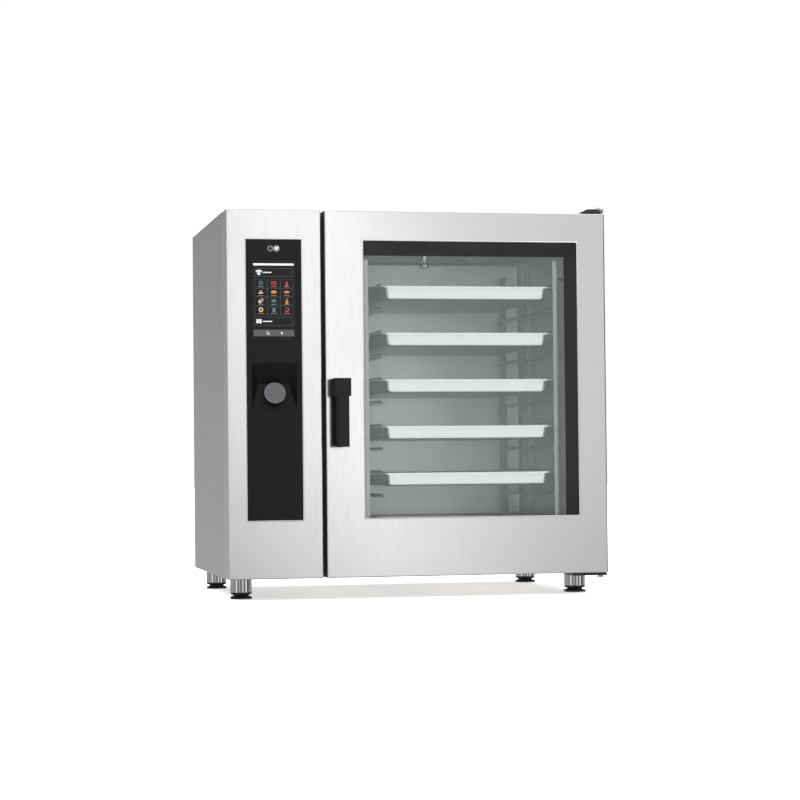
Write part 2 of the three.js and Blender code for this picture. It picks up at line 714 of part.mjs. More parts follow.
// A black funnel joins the outer pane to the inner one and hides the door's
// inside. Its front edge spreads into a flange behind the skin.
const surroundFront = outerPaneFront + PANE + GAP;
const surroundBack = innerPaneFront - GAP;
const grown = ([x0, x1, z0, z1], by) => [x0 - by, x1 + by, z0 - by, z1 + by];
const funnelBack = surroundBack + 1;
addPiece("window_surround", cut(
  join(
    slab(WINDOW, surroundFront, surroundFront + 3, 18),
    taperedSlab(grown(WINDOW, 3), grown(SIGHT, 3), surroundFront + 1, surroundBack),
    slab(SIGHT, surroundBack - 3, surroundBack, 12),
  ),
  taperedSlab(WINDOW, SIGHT, surroundFront, surroundBack),
  slab(WINDOW, surroundFront - 1, surroundFront + 0.01),
  slab(SIGHT, surroundBack - 0.01, funnelBack),
), blackPlastic);

// ---- handle -------------------------------------------------------------

const HANDLE_FRONT = FRONT - OVERHANG;
const HANDLE_REAR = FRONT - 2;
const HEAD_HALF = 24.3;
const HEAD_TOP = 651.4;
const HEAD_BOTTOM = 599;
const GRIP_HALF = 18;
const GRIP_BOTTOM = 449.7;
const GRIP_THICK = 27;

function makeHandle() {
  const head = new THREE.Shape();
  head.moveTo(HANDLE_FRONT, HEAD_BOTTOM);
  head.lineTo(HANDLE_REAR, HEAD_BOTTOM);
  head.lineTo(HANDLE_REAR, HEAD_TOP - 14);
  head.absarc(HANDLE_REAR - 14, HEAD_TOP - 14, 14, 0, Math.PI / 2);
  head.lineTo(HANDLE_FRONT, HEAD_TOP);
  const gripBack = HANDLE_FRONT + GRIP_THICK;
  const grip = new THREE.Shape();
  grip.moveTo(HANDLE_FRONT, GRIP_BOTTOM);
  grip.lineTo(gripBack - 4, GRIP_BOTTOM);
  grip.lineTo(gripBack, GRIP_BOTTOM + 6);
  grip.lineTo(gripBack, HEAD_BOTTOM - 16);
  grip.lineTo(gripBack + 16, HEAD_BOTTOM + 1);
  grip.lineTo(HANDLE_FRONT, HEAD_BOTTOM + 1);
  return join(
    drawnAlongX(head, HANDLE_X - HEAD_HALF, HANDLE_X + HEAD_HALF),
    drawnAlongX(grip, HANDLE_X - GRIP_HALF, HANDLE_X + GRIP_HALF),
  );
}
const shaftSocket = rod("y", 8 + GAP, HANDLE_REAR - 20, HANDLE_REAR + 1, [HANDLE_X, HANDLE_Z], 20);
addPiece("door_handle", cut(makeHandle(), shaftSocket), blackPlastic);

const TONGUE_BACK = FRAME_FRONT + 18;
addPiece("latch_shaft", join(
  rod("y", 8, HANDLE_REAR - 19, DOOR_BACK + 3, [HANDLE_X, HANDLE_Z], 20),
  block([HANDLE_X - 12, DOOR_BACK + 2, HANDLE_Z - 5], [HANDLE_X + 12, TONGUE_BACK, HANDLE_Z + 5]),
), chrome);

// The keeper is a box behind the front frame that the tongue turns inside.
const KEEPER_HALF = 28;
const keeperOuter = [
  HANDLE_X - KEEPER_HALF, HANDLE_X + KEEPER_HALF, HANDLE_Z - KEEPER_HALF, HANDLE_Z + KEEPER_HALF,
];
addPiece("latch_keeper", cut(
  slab(keeperOuter, LINER_FRONT, FRAME_FRONT + 24),
  slab(keeperOuter, LINER_FRONT - 1, FRAME_FRONT + 22, -8),
), galvanised);

// ---- hinges -------------------------------------------------------------

const BRACKET_X0 = 505;
const BRACKET_RIGHT = RIGHT - 1;
const bracketBolt = (z0, z1) => rod("z", PIN_RADIUS + GAP, z0, z1, [HINGE_X, HINGE_Y], 16);

// The upper bracket lies on the casing top and reaches out over the door.
const topBracketLow = TOP + 2;
const topBracketHigh = topBracketLow + 11;
addPiece("hinge_bracket_top", cut(
  block([BRACKET_X0, FRONT + 4, topBracketLow], [BRACKET_RIGHT, -270, topBracketHigh]),
  bracketBolt(topBracketLow - 1, topBracketHigh + 1),
), blackSteel);

const bottomBracketHigh = FOOT_HEIGHT - 1;
const bottomBracketLow = bottomBracketHigh - 7;
addPiece("hinge_bracket_bottom", cut(
  block([BRACKET_X0 - 37, FRONT + 4, bottomBracketLow], [BRACKET_RIGHT, -320, bottomBracketHigh]),
  bracketBolt(bottomBracketLow - 1, bottomBracketHigh + 1),
), blackSteel);

const pinPlace = [HINGE_X, HINGE_Y];
addPiece("hinge_pin_top", join(
  rod("z", PIN_RADIUS, DOOR_TOP - 40, topBracketHigh + 1, pinPlace, 16),
  rod("z", 11, topBracketHigh + GAP, topBracketHigh + 8, pinPlace, 20),
), chrome);
addPiece("hinge_pin_bottom", join(
  rod("z", PIN_RADIUS, bottomBracketLow - 1, FOOT_HEIGHT + 40, pinPlace, 16),
  rod("z", 9, bottomBracketLow - 7, bottomBracketLow - GAP, pinPlace, 20),
), chrome);

// ---- legs ---------------------------------------------------------------

const SLEEVE_RADIUS = 30.5;
const SLEEVE_BOTTOM = 20;

const sleeveProfile = [
  [0, 24], [SLEEVE_RADIUS - 2, 24], [SLEEVE_RADIUS - 2, SLEEVE_BOTTOM],
  [SLEEVE_RADIUS, SLEEVE_BOTTOM], [SLEEVE_RADIUS, FOOT_HEIGHT - GAP], [0, FOOT_HEIGHT - GAP],
];
const STEM_RADIUS = 8;
const STEM_TOP = 56;

function makeLegSleeve() {
  const bore = rod("z", STEM_RADIUS + GAP, 19, FOOT_HEIGHT - 2, [0, 0], 12);
  return cut(turned(sleeveProfile, 24), bore);
}

// A spool: collar, waist and a six-sided base, on a threaded stem.
function makeFoot() {
  const collar = turned([[0, 11], [24, 11], [30, 16], [30, 19.5], [0, 19.5]], 24);
  const waist = rod("z", 24, 6, 12, [0, 0], 12);
  const base = turned([[0, 0], [32, 0], [32, 3], [24, 9], [0, 9]], 6);
  const stem = rod("z", STEM_RADIUS, 19, STEM_TOP, [0, 0], 12);
  return join(collar, waist, base, stem);
}

const legPlaces = {
  front_left: [-LEG_X, LEG_FRONT],
  front_right: [LEG_X, LEG_FRONT],
  rear_left: [-LEG_X, LEG_REAR],
  rear_right: [LEG_X, LEG_REAR],
};
for (const [corner, [x, y]] of Object.entries(legPlaces)) {
  addPiece(`leg_sleeve_${corner}`, makeLegSleeve(), chrome).position.set(x, y, 0);
  addPiece(`foot_${corner}`, makeFoot(), blackPlastic).position.set(x, y, 0);
}

export default oven;
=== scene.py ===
import json
import math

import bmesh
import bpy
from mathutils import Matrix, Vector


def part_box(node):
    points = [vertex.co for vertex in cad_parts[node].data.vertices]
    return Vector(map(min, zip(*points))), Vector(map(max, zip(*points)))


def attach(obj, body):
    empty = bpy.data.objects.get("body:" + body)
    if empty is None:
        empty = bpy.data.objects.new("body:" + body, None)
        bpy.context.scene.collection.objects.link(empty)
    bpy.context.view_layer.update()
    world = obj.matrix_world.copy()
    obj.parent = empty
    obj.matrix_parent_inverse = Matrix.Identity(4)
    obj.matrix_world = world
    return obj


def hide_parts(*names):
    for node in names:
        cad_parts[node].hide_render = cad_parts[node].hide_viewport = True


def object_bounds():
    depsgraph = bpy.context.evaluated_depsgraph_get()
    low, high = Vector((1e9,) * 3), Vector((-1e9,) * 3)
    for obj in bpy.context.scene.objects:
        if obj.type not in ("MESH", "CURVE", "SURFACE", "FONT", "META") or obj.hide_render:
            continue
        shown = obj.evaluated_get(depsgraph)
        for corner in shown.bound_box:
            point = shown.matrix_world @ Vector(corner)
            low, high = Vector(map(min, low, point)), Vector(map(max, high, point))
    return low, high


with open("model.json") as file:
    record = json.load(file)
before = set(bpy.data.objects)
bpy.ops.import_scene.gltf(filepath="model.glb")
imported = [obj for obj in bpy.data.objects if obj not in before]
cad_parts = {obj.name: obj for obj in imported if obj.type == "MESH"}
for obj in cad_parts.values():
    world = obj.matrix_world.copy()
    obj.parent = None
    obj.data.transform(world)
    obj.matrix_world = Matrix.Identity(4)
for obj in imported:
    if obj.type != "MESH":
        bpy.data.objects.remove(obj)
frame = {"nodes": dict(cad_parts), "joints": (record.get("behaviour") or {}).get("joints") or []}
cad_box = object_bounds()
nodes = frame["nodes"]

# ---- Camera, floor and light --------------------------------------------
# A long lens a little above mid-height, from the left of the door, over a
# pale floor, with broad soft light from the front left.

CAMERA_PLACE = (-1.4185, -7.0325, 0.4062)
CAMERA_TURN = (91.545, 0.564, -11.616)  # degrees
CAMERA_LENS = 102.285
SENSOR_WIDTH = 36.0


def linear(hex_colour):
    """An sRGB hex colour as linear red, green, blue and alpha."""
    channels = [int(hex_colour[i:i + 2], 16) / 255 for i in (1, 3, 5)]
    bent = [c / 12.92 if c <= 0.04045 else ((c + 0.055) / 1.055) ** 2.4 for c in channels]
    return (*bent, 1.0)


def add_node(tree, kind, settings=None, inputs=None):
    """Adds a node, sets its properties, and sets or links each of its inputs."""
    node = tree.nodes.new(kind)
    for key, value in (settings or {}).items():
        setattr(node, key, value)
    for key, value in (inputs or {}).items():
        if isinstance(value, bpy.types.NodeSocket):
            tree.links.new(value, node.inputs[key])
        else:
            node.inputs[key].default_value = value
    return node


def new_material(name, base, metallic, roughness, **sockets):
    """A material with one Principled shader. Returns the material, its tree and the shader."""
    material = bpy.data.materials.new(name)
    material.use_nodes = True
    tree = material.node_tree
    tree.nodes.clear()
    values = {"Base Color": linear(base), "Metallic": metallic, "Roughness": roughness}
    values.update({key.replace("_", " "): value for key, value in sockets.items()})
    shader = add_node(tree, "ShaderNodeBsdfPrincipled", inputs=values)
    add_node(tree, "ShaderNodeOutputMaterial", inputs={"Surface": shader.outputs["BSDF"]})
    return material, tree, shader


camera_data = bpy.data.cameras.new("studio_camera")
camera_data.sensor_width = SENSOR_WIDTH
camera_data.lens = CAMERA_LENS
camera_data.clip_end = 100
camera = bpy.data.objects.new("studio_camera", camera_data)
camera.location = CAMERA_PLACE
camera.rotation_euler = [math.radians(angle) for angle in CAMERA_TURN]
bpy.context.scene.collection.objects.link(camera)
bpy.context.scene.camera = camera
bpy.context.scene.view_settings.view_transform = "Standard"

# rolled on in a thick matt coat, which leaves the white a little uneven
floor_material, tree, shader = new_material("floor_matt_paint", "#F7F7F7", 0, 0.85)
coordinates = add_node(tree, "ShaderNodeTexCoord")
mottle = add_node(tree, "ShaderNodeTexNoise", inputs={
    "Vector": coordinates.outputs["Object"], "Scale": 0.6, "Detail": 2})
floor_ramp = add_node(tree, "ShaderNodeValToRGB", inputs={"Fac": mottle.outputs["Fac"]})
floor_ramp.color_ramp.elements[0].color = linear("#F4F4F4")
floor_ramp.color_ramp.elements[1].color = linear("#F9F9F9")
tree.links.new(floor_ramp.outputs["Color"], shader.inputs["Base Color"])
shader.inputs["Emission Color"].default_value = linear("#F6F6F6")
shader.inputs["Emission Strength"].default_value = 0.62  # a lit floor, so that shadows stay pale

FLOOR_HALF = 30
floor_mesh = bpy.data.meshes.new("floor")
floor_mesh.from_pydata([(-FLOOR_HALF, -FLOOR_HALF, 0), (FLOOR_HALF, -FLOOR_HALF, 0),
                        (FLOOR_HALF, FLOOR_HALF, 0), (-FLOOR_HALF, FLOOR_HALF, 0)], [], [(0, 1, 2, 3)])
floor_mesh.materials.append(floor_material)
floor = bpy.data.objects.new("floor", floor_mesh)
bpy.context.scene.collection.objects.link(floor)
floor.visible_glossy = False  # the steel reflects the room, not this floor

world = bpy.data.worlds.new("studio")
bpy.context.scene.world = world
world.use_nodes = True
tree = world.node_tree
tree.nodes.clear()
direction = add_node(tree, "ShaderNodeTexCoord")
axes = add_node(tree, "ShaderNodeSeparateXYZ", inputs={"Vector": direction.outputs["Generated"]})
# in front stands a tall leaning light box, left of the middle of a grey room;
# narrow bright strips far out on both sides draw lines on tubes and folds
leaning = add_node(tree, "ShaderNodeMath", {"operation": "MULTIPLY_ADD"}, {
    0: axes.outputs["Z"], 1: 0.30, 2: axes.outputs["X"]})
place = add_node(tree, "ShaderNodeMapRange", inputs={
    "Value": leaning.outputs["Value"], "From Min": -1.0, "From Max": 1.0})
across = add_node(tree, "ShaderNodeValToRGB", inputs={"Fac": place.outputs["Result"]})
ROOM_IN_FRONT = [  # (sideways direction from -1 to 1, brightness)
    (-1.0, 0.25), (-0.93, 0.25), (-0.90, 0.9), (-0.80, 0.9), (-0.76, 0.22), (-0.50, 0.20),
    (-0.46, 0.5), (-0.36, 0.5), (-0.30, 0.18), (0.0, 0.22), (0.08, 0.32), (0.12, 0.50), (0.145, 0.70),
    (0.17, 0.97), (0.19, 1.0), (0.214, 1.0), (0.230, 0.47), (0.28, 0.43), (0.31, 0.47), (0.40, 0.38),
    (0.48, 0.05), (0.62, 0.05), (0.66, 1.0), (0.80, 1.0), (0.84, 0.05), (1.0, 0.05)]
stops = across.color_ramp.elements
stops[0].position, stops[1].position = 0.0, 1.0
for sideways, _ in ROOM_IN_FRONT[1:-1]:
    stops.new((sideways + 1) / 2)
for stop, (_, brightness) in zip(stops, ROOM_IN_FRONT):
    stop.color = (brightness, brightness, brightness, 1)
FRONT_STRENGTH = 1.95
# below the horizon the floor of the room is darker
near_floor = add_node(tree, "ShaderNodeMapRange", {"interpolation_type": "SMOOTHSTEP"}, {
    "Value": axes.outputs["Z"], "From Min": -0.10, "From Max": 0.01, "To Min": 0.50 * FRONT_STRENGTH,
    "To Max": FRONT_STRENGTH})
in_front = add_node(tree, "ShaderNodeMath", {"operation": "MULTIPLY"}, {
    0: across.outputs["Color"], 1: near_floor.outputs["Result"]})
# behind it is a plain mid grey, a little lighter towards the floor
at_back = add_node(tree, "ShaderNodeMapRange", inputs={
    "Value": axes.outputs["Z"], "From Min": -0.12, "From Max": 0.12, "To Min": 0.50, "To Max": 0.33})
behind = add_node(tree, "ShaderNodeMapRange", {"interpolation_type": "SMOOTHSTEP"}, {
    "Value": axes.outputs["Y"], "From Min": -0.5, "From Max": 0.3, "To Min": 0.0, "To Max": 1.0})
room = add_node(tree, "ShaderNodeMix", {"data_type": "FLOAT"}, {
    0: behind.outputs["Result"], 2: in_front.outputs["Value"], 3: at_back.outputs["Result"]})
# the ceiling is a diffuser, which lights the floor more than it shows in the steel
overhead = add_node(tree, "ShaderNodeMapRange", {"interpolation_type": "SMOOTHSTEP"}, {
    "Value": axes.outputs["Z"], "From Min": 0.3, "From Max": 0.8, "To Min": 0.0, "To Max": 1.0})
seen = add_node(tree, "ShaderNodeLightPath")
ceiling = add_node(tree, "ShaderNodeMapRange", inputs={
    "Value": seen.outputs["Is Diffuse Ray"], "To Min": 0.85, "To Max": 1.9})
glow = add_node(tree, "ShaderNodeMix", {"data_type": "FLOAT"}, {
    0: overhead.outputs["Result"], 2: room.outputs[0], 3: ceiling.outputs["Result"]})
strength = add_node(tree, "ShaderNodeMix", {"data_type": "FLOAT"}, {
    0: seen.outputs["Is Camera Ray"], 2: glow.outputs[0], 3: 1.0})
sky = add_node(tree, "ShaderNodeBackground", inputs={
    "Color": (1, 1, 1, 1), "Strength": strength.outputs[0]})
add_node(tree, "ShaderNodeOutputWorld", inputs={"Surface": sky.outputs["Background"]})


def add_area_light(name, place, target, width, height, watts):
    """A soft light panel that the camera does not see."""
    data = bpy.data.lights.new(name, "AREA")
    data.shape = "RECTANGLE"
    data.size = width
    data.size_y = height
    data.energy = watts
    light = bpy.data.objects.new(name, data)
    light.location = place
    light.rotation_euler = (Vector(target) - Vector(place)).to_track_quat("-Z", "Y").to_euler()
    light.visible_camera = False
    bpy.context.scene.collection.objects.link(light)


MIDDLE = (0, 0, 0.6)
add_area_light("key_light", (-3.0, -4.0, 4.6), MIDDLE, 3.5, 3.5, 240)
add_area_light("fill_light", (3.2, -3.6, 3.6), MIDDLE, 3.0, 3.0, 80)
add_area_light("back_light", (0.5, 4.0, 4.5), MIDDLE, 3.5, 3.5, 120)
# behind the door, facing in, to stand for the lamp of the cavity
add_area_light("cavity_light", (0.155, -0.362, 0.63), (0.155, 0.3, 0.62), 0.62, 0.80, 5.2)

# ---- Steel sheets of the casing -----------------------------------------
# Side, top and back sheets and the cover of the control column, of stainless
# steel 1.5 mm thick, ground with a fine grain that runs up the sheet, then
# folded over and screwed on.


def make_brushed_steel(name, base, roughness, grain_mm=(0.9, 0.9, 60)):
    """Ground stainless steel: long fine scratches that spread the reflections sideways."""
    material, tree, shader = new_material(name, base, 1.0, roughness)
    coordinates = add_node(tree, "ShaderNodeTexCoord")
    grain_scale = [1000 / size for size in grain_mm]
    grain_place = add_node(tree, "ShaderNodeMapping", inputs={
        "Vector": coordinates.outputs["Object"], "Scale": grain_scale})
    grain = add_node(tree, "ShaderNodeTexNoise", inputs={
        "Vector": grain_place.outputs["Vector"], "Scale": 1.0, "Detail": 3, "Roughness": 0.6})
    clouds = add_node(tree, "ShaderNodeTexNoise", inputs={
        "Vector": coordinates.outputs["Object"], "Scale": 2.5, "Detail": 2})
    mixed = add_node(tree, "ShaderNodeMath", {"operation": "MULTIPLY_ADD"}, {
        0: clouds.outputs["Fac"], 1: 0.5, 2: grain.outputs["Fac"]})
    rough = add_node(tree, "ShaderNodeMapRange", inputs={
        "Value": mixed.outputs["Value"], "From Min": 0.35, "From Max": 1.15,
        "To Min": roughness * 0.8, "To Max": roughness * 1.25})
    tree.links.new(rough.outputs["Result"], shader.inputs["Roughness"])
    tone = add_node(tree, "ShaderNodeMix", {"data_type": "RGBA"}, {
        0: grain.outputs["Fac"], 6: linear(base), 7: [c * 0.93 for c in linear(base)]})
    tree.links.new(tone.outputs[2], shader.inputs["Base Color"])
    bump = add_node(tree, "ShaderNodeBump", inputs={
        "Height": grain.outputs["Fac"], "Strength": 0.12, "Distance": 0.00005})
    tree.links.new(bump.outputs["Normal"], shader.inputs["Normal"])
    return material


# ground with a fine belt, which gives a satin grey with blurred reflections
casing_steel = make_brushed_steel("stainless_steel_ground", "#CDCED0", 0.19)


def mesh_of(bm, name):
    """Writes a bmesh to a mesh and frees it."""
    mesh = bpy.data.meshes.new(name)
    bm.to_mesh(mesh)
    bm.free()
    return mesh


def finish_mesh(mesh, angle=32):
    """Smooth shading that breaks at sharp edges and lies flat on the broad faces.
    Returns a new mesh, as the weighting of its normals is a modifier's work."""
    for polygon in mesh.polygons:
        polygon.use_smooth = True
    mesh.set_sharp_from_angle(angle=math.radians(angle))
    carrier = bpy.data.objects.new("carrier", mesh)
    bpy.context.scene.collection.objects.link(carrier)
    weighting = carrier.modifiers.new("weighting", "WEIGHTED_NORMAL")
    weighting.mode = "FACE_AREA"
    weighting.weight = 100
    weighting.keep_sharp = True
    depsgraph = bpy.context.evaluated_depsgraph_get()
    finished = bpy.data.meshes.new_from_object(carrier.evaluated_get(depsgraph))
    bpy.data.objects.remove(carrier)
    return finished


def place_piece(name, mesh, material, body, replaced=()):
    """Makes an object of a finished mesh, which rides on a body and stands for CAD nodes."""
    if material is not None:
        mesh.materials.append(material)
    piece = bpy.data.objects.new(name, mesh)
    bpy.context.scene.collection.objects.link(piece)
    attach(piece, body)
    if replaced:
        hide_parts(*replaced)
    return piece


def softened_mesh(node, width, fold, segments):
    """A copy of a node's mesh with its sharp edges rounded. Folds, which are the
    edges between two broad faces, get the larger radius."""
    bm = bmesh.new()
    bm.from_mesh(nodes[node].data)
    bmesh.ops.remove_doubles(bm, verts=bm.verts, dist=1e-6)
    bmesh.ops.dissolve_limit(bm, angle_limit=math.radians(1), verts=bm.verts, edges=bm.edges)
    bmesh.ops.triangulate(bm, faces=bm.faces)
    sharp = math.radians(30)
    broad = 0.004  # square metres
    if fold:
        folds = [e for e in bm.edges if len(e.link_faces) == 2
                 and e.calc_face_angle() > sharp
                 and min(f.calc_area() for f in e.link_faces) > broad]
        bmesh.ops.bevel(bm, geom=folds, offset=fold, segments=4, profile=0.5,
                        affect="EDGES", clamp_overlap=True)
    edges = [e for e in bm.edges if len(e.link_faces) == 2 and e.calc_face_angle() > sharp]
    bmesh.ops.bevel(bm, geom=edges, offset=width, segments=segments, profile=0.5,
                    affect="EDGES", clamp_overlap=True)
    return finish_mesh(mesh_of(bm, node))


def soften(node, material, body, width=0.0004, fold=0.0, segments=2):
    """Replaces a node by its own shape with rounded edges."""
    mesh = softened_mesh(node, width, fold, segments)
    return place_piece(f"{node}_finished", mesh, material, body, [node])


for sheet in ("left_side_panel", "right_side_panel", "back_panel"):
    soften(sheet, casing_steel, "oven", fold=0.0018)
# the top, which stands out of sight, keeps the dull even skin of the rolling mill
mill_steel = make_brushed_steel("stainless_steel_mill_finish", "#9EA0A2", 0.40, (1.5, 40, 1.5))
soften("top_panel", mill_steel, "oven", fold=0.0018)
# ground a step finer, so that the front is brighter and reflects more sharply
column_steel = make_brushed_steel("stainless_steel_column", "#D8D9DB", 0.17)
soften("column_cover", column_steel, "oven", fold=0.0026)

# ---- Screws and louvre hoods of the back sheet --------------------------
# Stainless pan-head screws in rows along the edges of the back sheet, and
# pressed hoods over its cooling slots. One Geometry Nodes tree sets a row of
# parts and turns each screw's socket at random.

SCREW_RADIUS = 0.0042
SCREW_HEIGHT = 0.0024
SOCKET_HALF = 0.0017  # from the axis to a flat of the socket
SOCKET_FLOOR = 0.0009


def screw_head_mesh():
    """A domed head about +Z with a six-sided socket."""
    count = 24
    bm = bmesh.new()
    rings = []
    for radius, height in ((SCREW_RADIUS, 0), (SCREW_RADIUS, 0.0008), (SCREW_RADIUS * 0.86, 0.0018),
                           (SCREW_RADIUS * 0.62, SCREW_HEIGHT)):
        rings.append([(radius, height)] * count)
    # the socket's six flats, as radii round the axis
    flats = [SOCKET_HALF / math.cos((2 * math.pi * i / count) % (math.pi / 3) - math.pi / 6)
             for i in range(count)]
    rings.append([(radius, SCREW_HEIGHT) for radius in flats])
    rings.append([(radius, SOCKET_FLOOR) for radius in flats])
    loops = [[bm.verts.new((r * math.cos(2 * math.pi * i / count), r * math.sin(2 * math.pi * i / count), h))
              for i, (r, h) in enumerate(ring)] for ring in rings]
    for low_loop, high_loop in zip(loops, loops[1:]):
        for i in range(count):
            j = (i + 1) % count
            bm.faces.new((low_loop[i], low_loop[j], high_loop[j], high_loop[i]))
    bm.faces.new(loops[-1])
    bm.faces.new(loops[0][::-1])
    mesh = mesh_of(bm, "screw_head")
    for polygon in mesh.polygons:
        polygon.use_smooth = True
    mesh.set_sharp_from_angle(angle=math.radians(32))
    return mesh


def joined_mesh(name, meshes):
    """One mesh of several closed shells."""
    bm = bmesh.new()
    for part in meshes:
        bm.from_mesh(part)
    return finish_mesh(mesh_of(bm, name))


def make_row_tree(name):
    """Geometry Nodes: copies the incoming mesh along a line, turned and spun."""
    tree = bpy.data.node_groups.new(name, "GeometryNodeTree")
    interface = tree.interface
    interface.new_socket("Geometry", in_out="INPUT", socket_type="NodeSocketGeometry")
    for socket_name, kind in (("Start", "NodeSocketVector"), ("Step", "NodeSocketVector"),
                              ("Facing", "NodeSocketRotation"), ("Count", "NodeSocketInt"),
                              ("Spin", "NodeSocketFloat"), ("Seed", "NodeSocketInt"),
                              ("Material", "NodeSocketMaterial")):
        interface.new_socket(socket_name, in_out="INPUT", socket_type=kind)
    interface.new_socket("Geometry", in_out="OUTPUT", socket_type="NodeSocketGeometry")
    given = add_node(tree, "NodeGroupInput")
    line = add_node(tree, "GeometryNodeMeshLine", {"mode": "OFFSET"}, {
        "Count": given.outputs["Count"], "Start Location": given.outputs["Start"],
        "Offset": given.outputs["Step"]})
    spin = add_node(tree, "FunctionNodeRandomValue", {"data_type": "FLOAT"}, {
        3: given.outputs["Spin"], "Seed": given.outputs["Seed"]})
    spin_axis = add_node(tree, "ShaderNodeCombineXYZ", inputs={"Z": spin.outputs[1]})
    turned = add_node(tree, "FunctionNodeEulerToRotation", inputs={"Euler": spin_axis.outputs["Vector"]})
    rotation = add_node(tree, "FunctionNodeRotateRotation", {"rotation_space": "LOCAL"}, {
        "Rotation": given.outputs["Facing"], "Rotate By": turned.outputs["Rotation"]})
    copies = add_node(tree, "GeometryNodeInstanceOnPoints", inputs={
        "Points": line.outputs["Mesh"], "Instance": given.outputs["Geometry"],
        "Rotation": rotation.outputs["Rotation"]})
    real = add_node(tree, "GeometryNodeRealizeInstances", inputs={
        "Geometry": copies.outputs["Instances"]})
    coated = add_node(tree, "GeometryNodeSetMaterial", inputs={
        "Geometry": real.outputs["Geometry"], "Material": given.outputs["Material"]})
    add_node(tree, "NodeGroupOutput", inputs={"Geometry": coated.outputs["Geometry"]})
    return tree


def row_mesh(tree, base_mesh, **values):
    """Runs the tree on a mesh and returns the realised row."""
    carrier = bpy.data.objects.new("row_carrier", base_mesh.copy())
    bpy.context.scene.collection.objects.link(carrier)
    modifier = carrier.modifiers.new("row", "NODES")
    modifier.node_group = tree
    for item in tree.interface.items_tree:
        if item.in_out == "INPUT" and item.name in values:
            modifier[item.identifier] = values[item.name]
    bpy.context.view_layer.update()
    depsgraph = bpy.context.evaluated_depsgraph_get()
    mesh = bpy.data.meshes.new_from_object(carrier.evaluated_get(depsgraph))
    bpy.data.objects.remove(carrier)
    return mesh


row_tree = make_row_tree("row_of_parts")
screw_head = screw_head_mesh()
# pressed cold, so the heads have an even satin skin without a grain
screw_steel = make_brushed_steel("stainless_steel_pressed", "#C9CACC", 0.3, (2, 2, 2))
back_low, back_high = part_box("back_panel")
FACING_BACK = (math.radians(-90), 0, 0)
BACK_FACE = back_high.y - 0.0001  # a part that stands on the sheet starts just inside it
EDGE = 0.012  # from the edge of the sheet to its screws
UPRIGHT_END = 0.03  # from the lying rows to the first screw of an upright one
LYING_END = 0.06  # from the edge of the sheet to the first screw of a lying row
UPRIGHT_COUNT, LYING_COUNT = 7, 8
upright_gap = (back_high.z - back_low.z - 2 * (EDGE + UPRIGHT_END)) / (UPRIGHT_COUNT - 1)
lying_gap = (back_high.x - back_low.x - 2 * LYING_END) / (LYING_COUNT - 1)
screws = {"Facing": FACING_BACK, "Spin": 6.28, "Material": screw_steel}
rows = []
for seed, x in enumerate((back_low.x + EDGE, back_high.x - EDGE)):
    rows.append(row_mesh(row_tree, screw_head, Start=(x, BACK_FACE, back_low.z + EDGE + UPRIGHT_END),
                         Step=(0, 0, upright_gap), Count=UPRIGHT_COUNT, Seed=seed, **screws))
for seed, z in enumerate((back_low.z + EDGE, back_high.z - EDGE), 2):
    rows.append(row_mesh(row_tree, screw_head, Start=(back_low.x + LYING_END, BACK_FACE, z),
                         Step=(lying_gap, 0, 0), Count=LYING_COUNT, Seed=seed, **screws))
# pressed hoods over the eight cooling slots
LOUVRE_LEFT, LOUVRE_RIGHT = -0.540, -0.360
LOUVRE_FIRST, LOUVRE_STEP, LOUVRE_COUNT = 0.820, 0.026, 8
HOOD_END = 0.003  # how far a hood reaches past its slot
hood_section = [(0.0, 0.0105), (0.0030, 0.0098), (0.0062, 0.0070), (0.0074, 0.0030), (0.0066, 0.0030),
                (0.0054, 0.0066), (0.0028, 0.0088), (0.0, 0.0094)]  # (outwards, up)
bm = bmesh.new()
ends = [[bm.verts.new((x, out, up)) for out, up in hood_section]
        for x in (LOUVRE_LEFT - HOOD_END, LOUVRE_RIGHT + HOOD_END)]
for i in range(len(hood_section)):
    j = (i + 1) % len(hood_section)
    bm.faces.new((ends[0][i], ends[0][j], ends[1][j], ends[1][i]))
bm.faces.new(ends[0])
bm.faces.new(ends[1])
bmesh.ops.recalc_face_normals(bm, faces=bm.faces)
hood = mesh_of(bm, "louvre_hood")
rows.append(row_mesh(row_tree, hood, Start=(0, BACK_FACE, LOUVRE_FIRST), Step=(0, 0, LOUVRE_STEP),
                     Facing=(0, 0, 0), Count=LOUVRE_COUNT, Spin=0.0, Seed=9, Material=casing_steel))
casing_screws = joined_mesh("casing_screws", rows)
casing_screws.materials.append(screw_steel)
place_piece("casing_screws_and_louvres", casing_screws, None, "oven")

# ---- Base frame and legs ------------------------------------------------
# The frame is folded galvanised sheet. Each leg is a polished tube with a
# black moulded foot on a screw: a collar, a waist and a six-sided base.

# dipped in zinc, which sets in flat crystals, some duller than others
galvanised, tree, shader = new_material("steel_sheet_galvanised", "#A7ABAE", 1.0, 0.45)
coordinates = add_node(tree, "ShaderNodeTexCoord")
SPANGLE = 0.012  # metres across one crystal of zinc
spangles = add_node(tree, "ShaderNodeTexVoronoi", inputs={
    "Vector": coordinates.outputs["Object"], "Scale": 1 / SPANGLE})
spangle_tone = add_node(tree, "ShaderNodeMapRange", inputs={
    "Value": spangles.outputs["Color"], "To Min": 0.36, "To Max": 0.55})
tree.links.new(spangle_tone.outputs["Result"], shader.inputs["Roughness"])


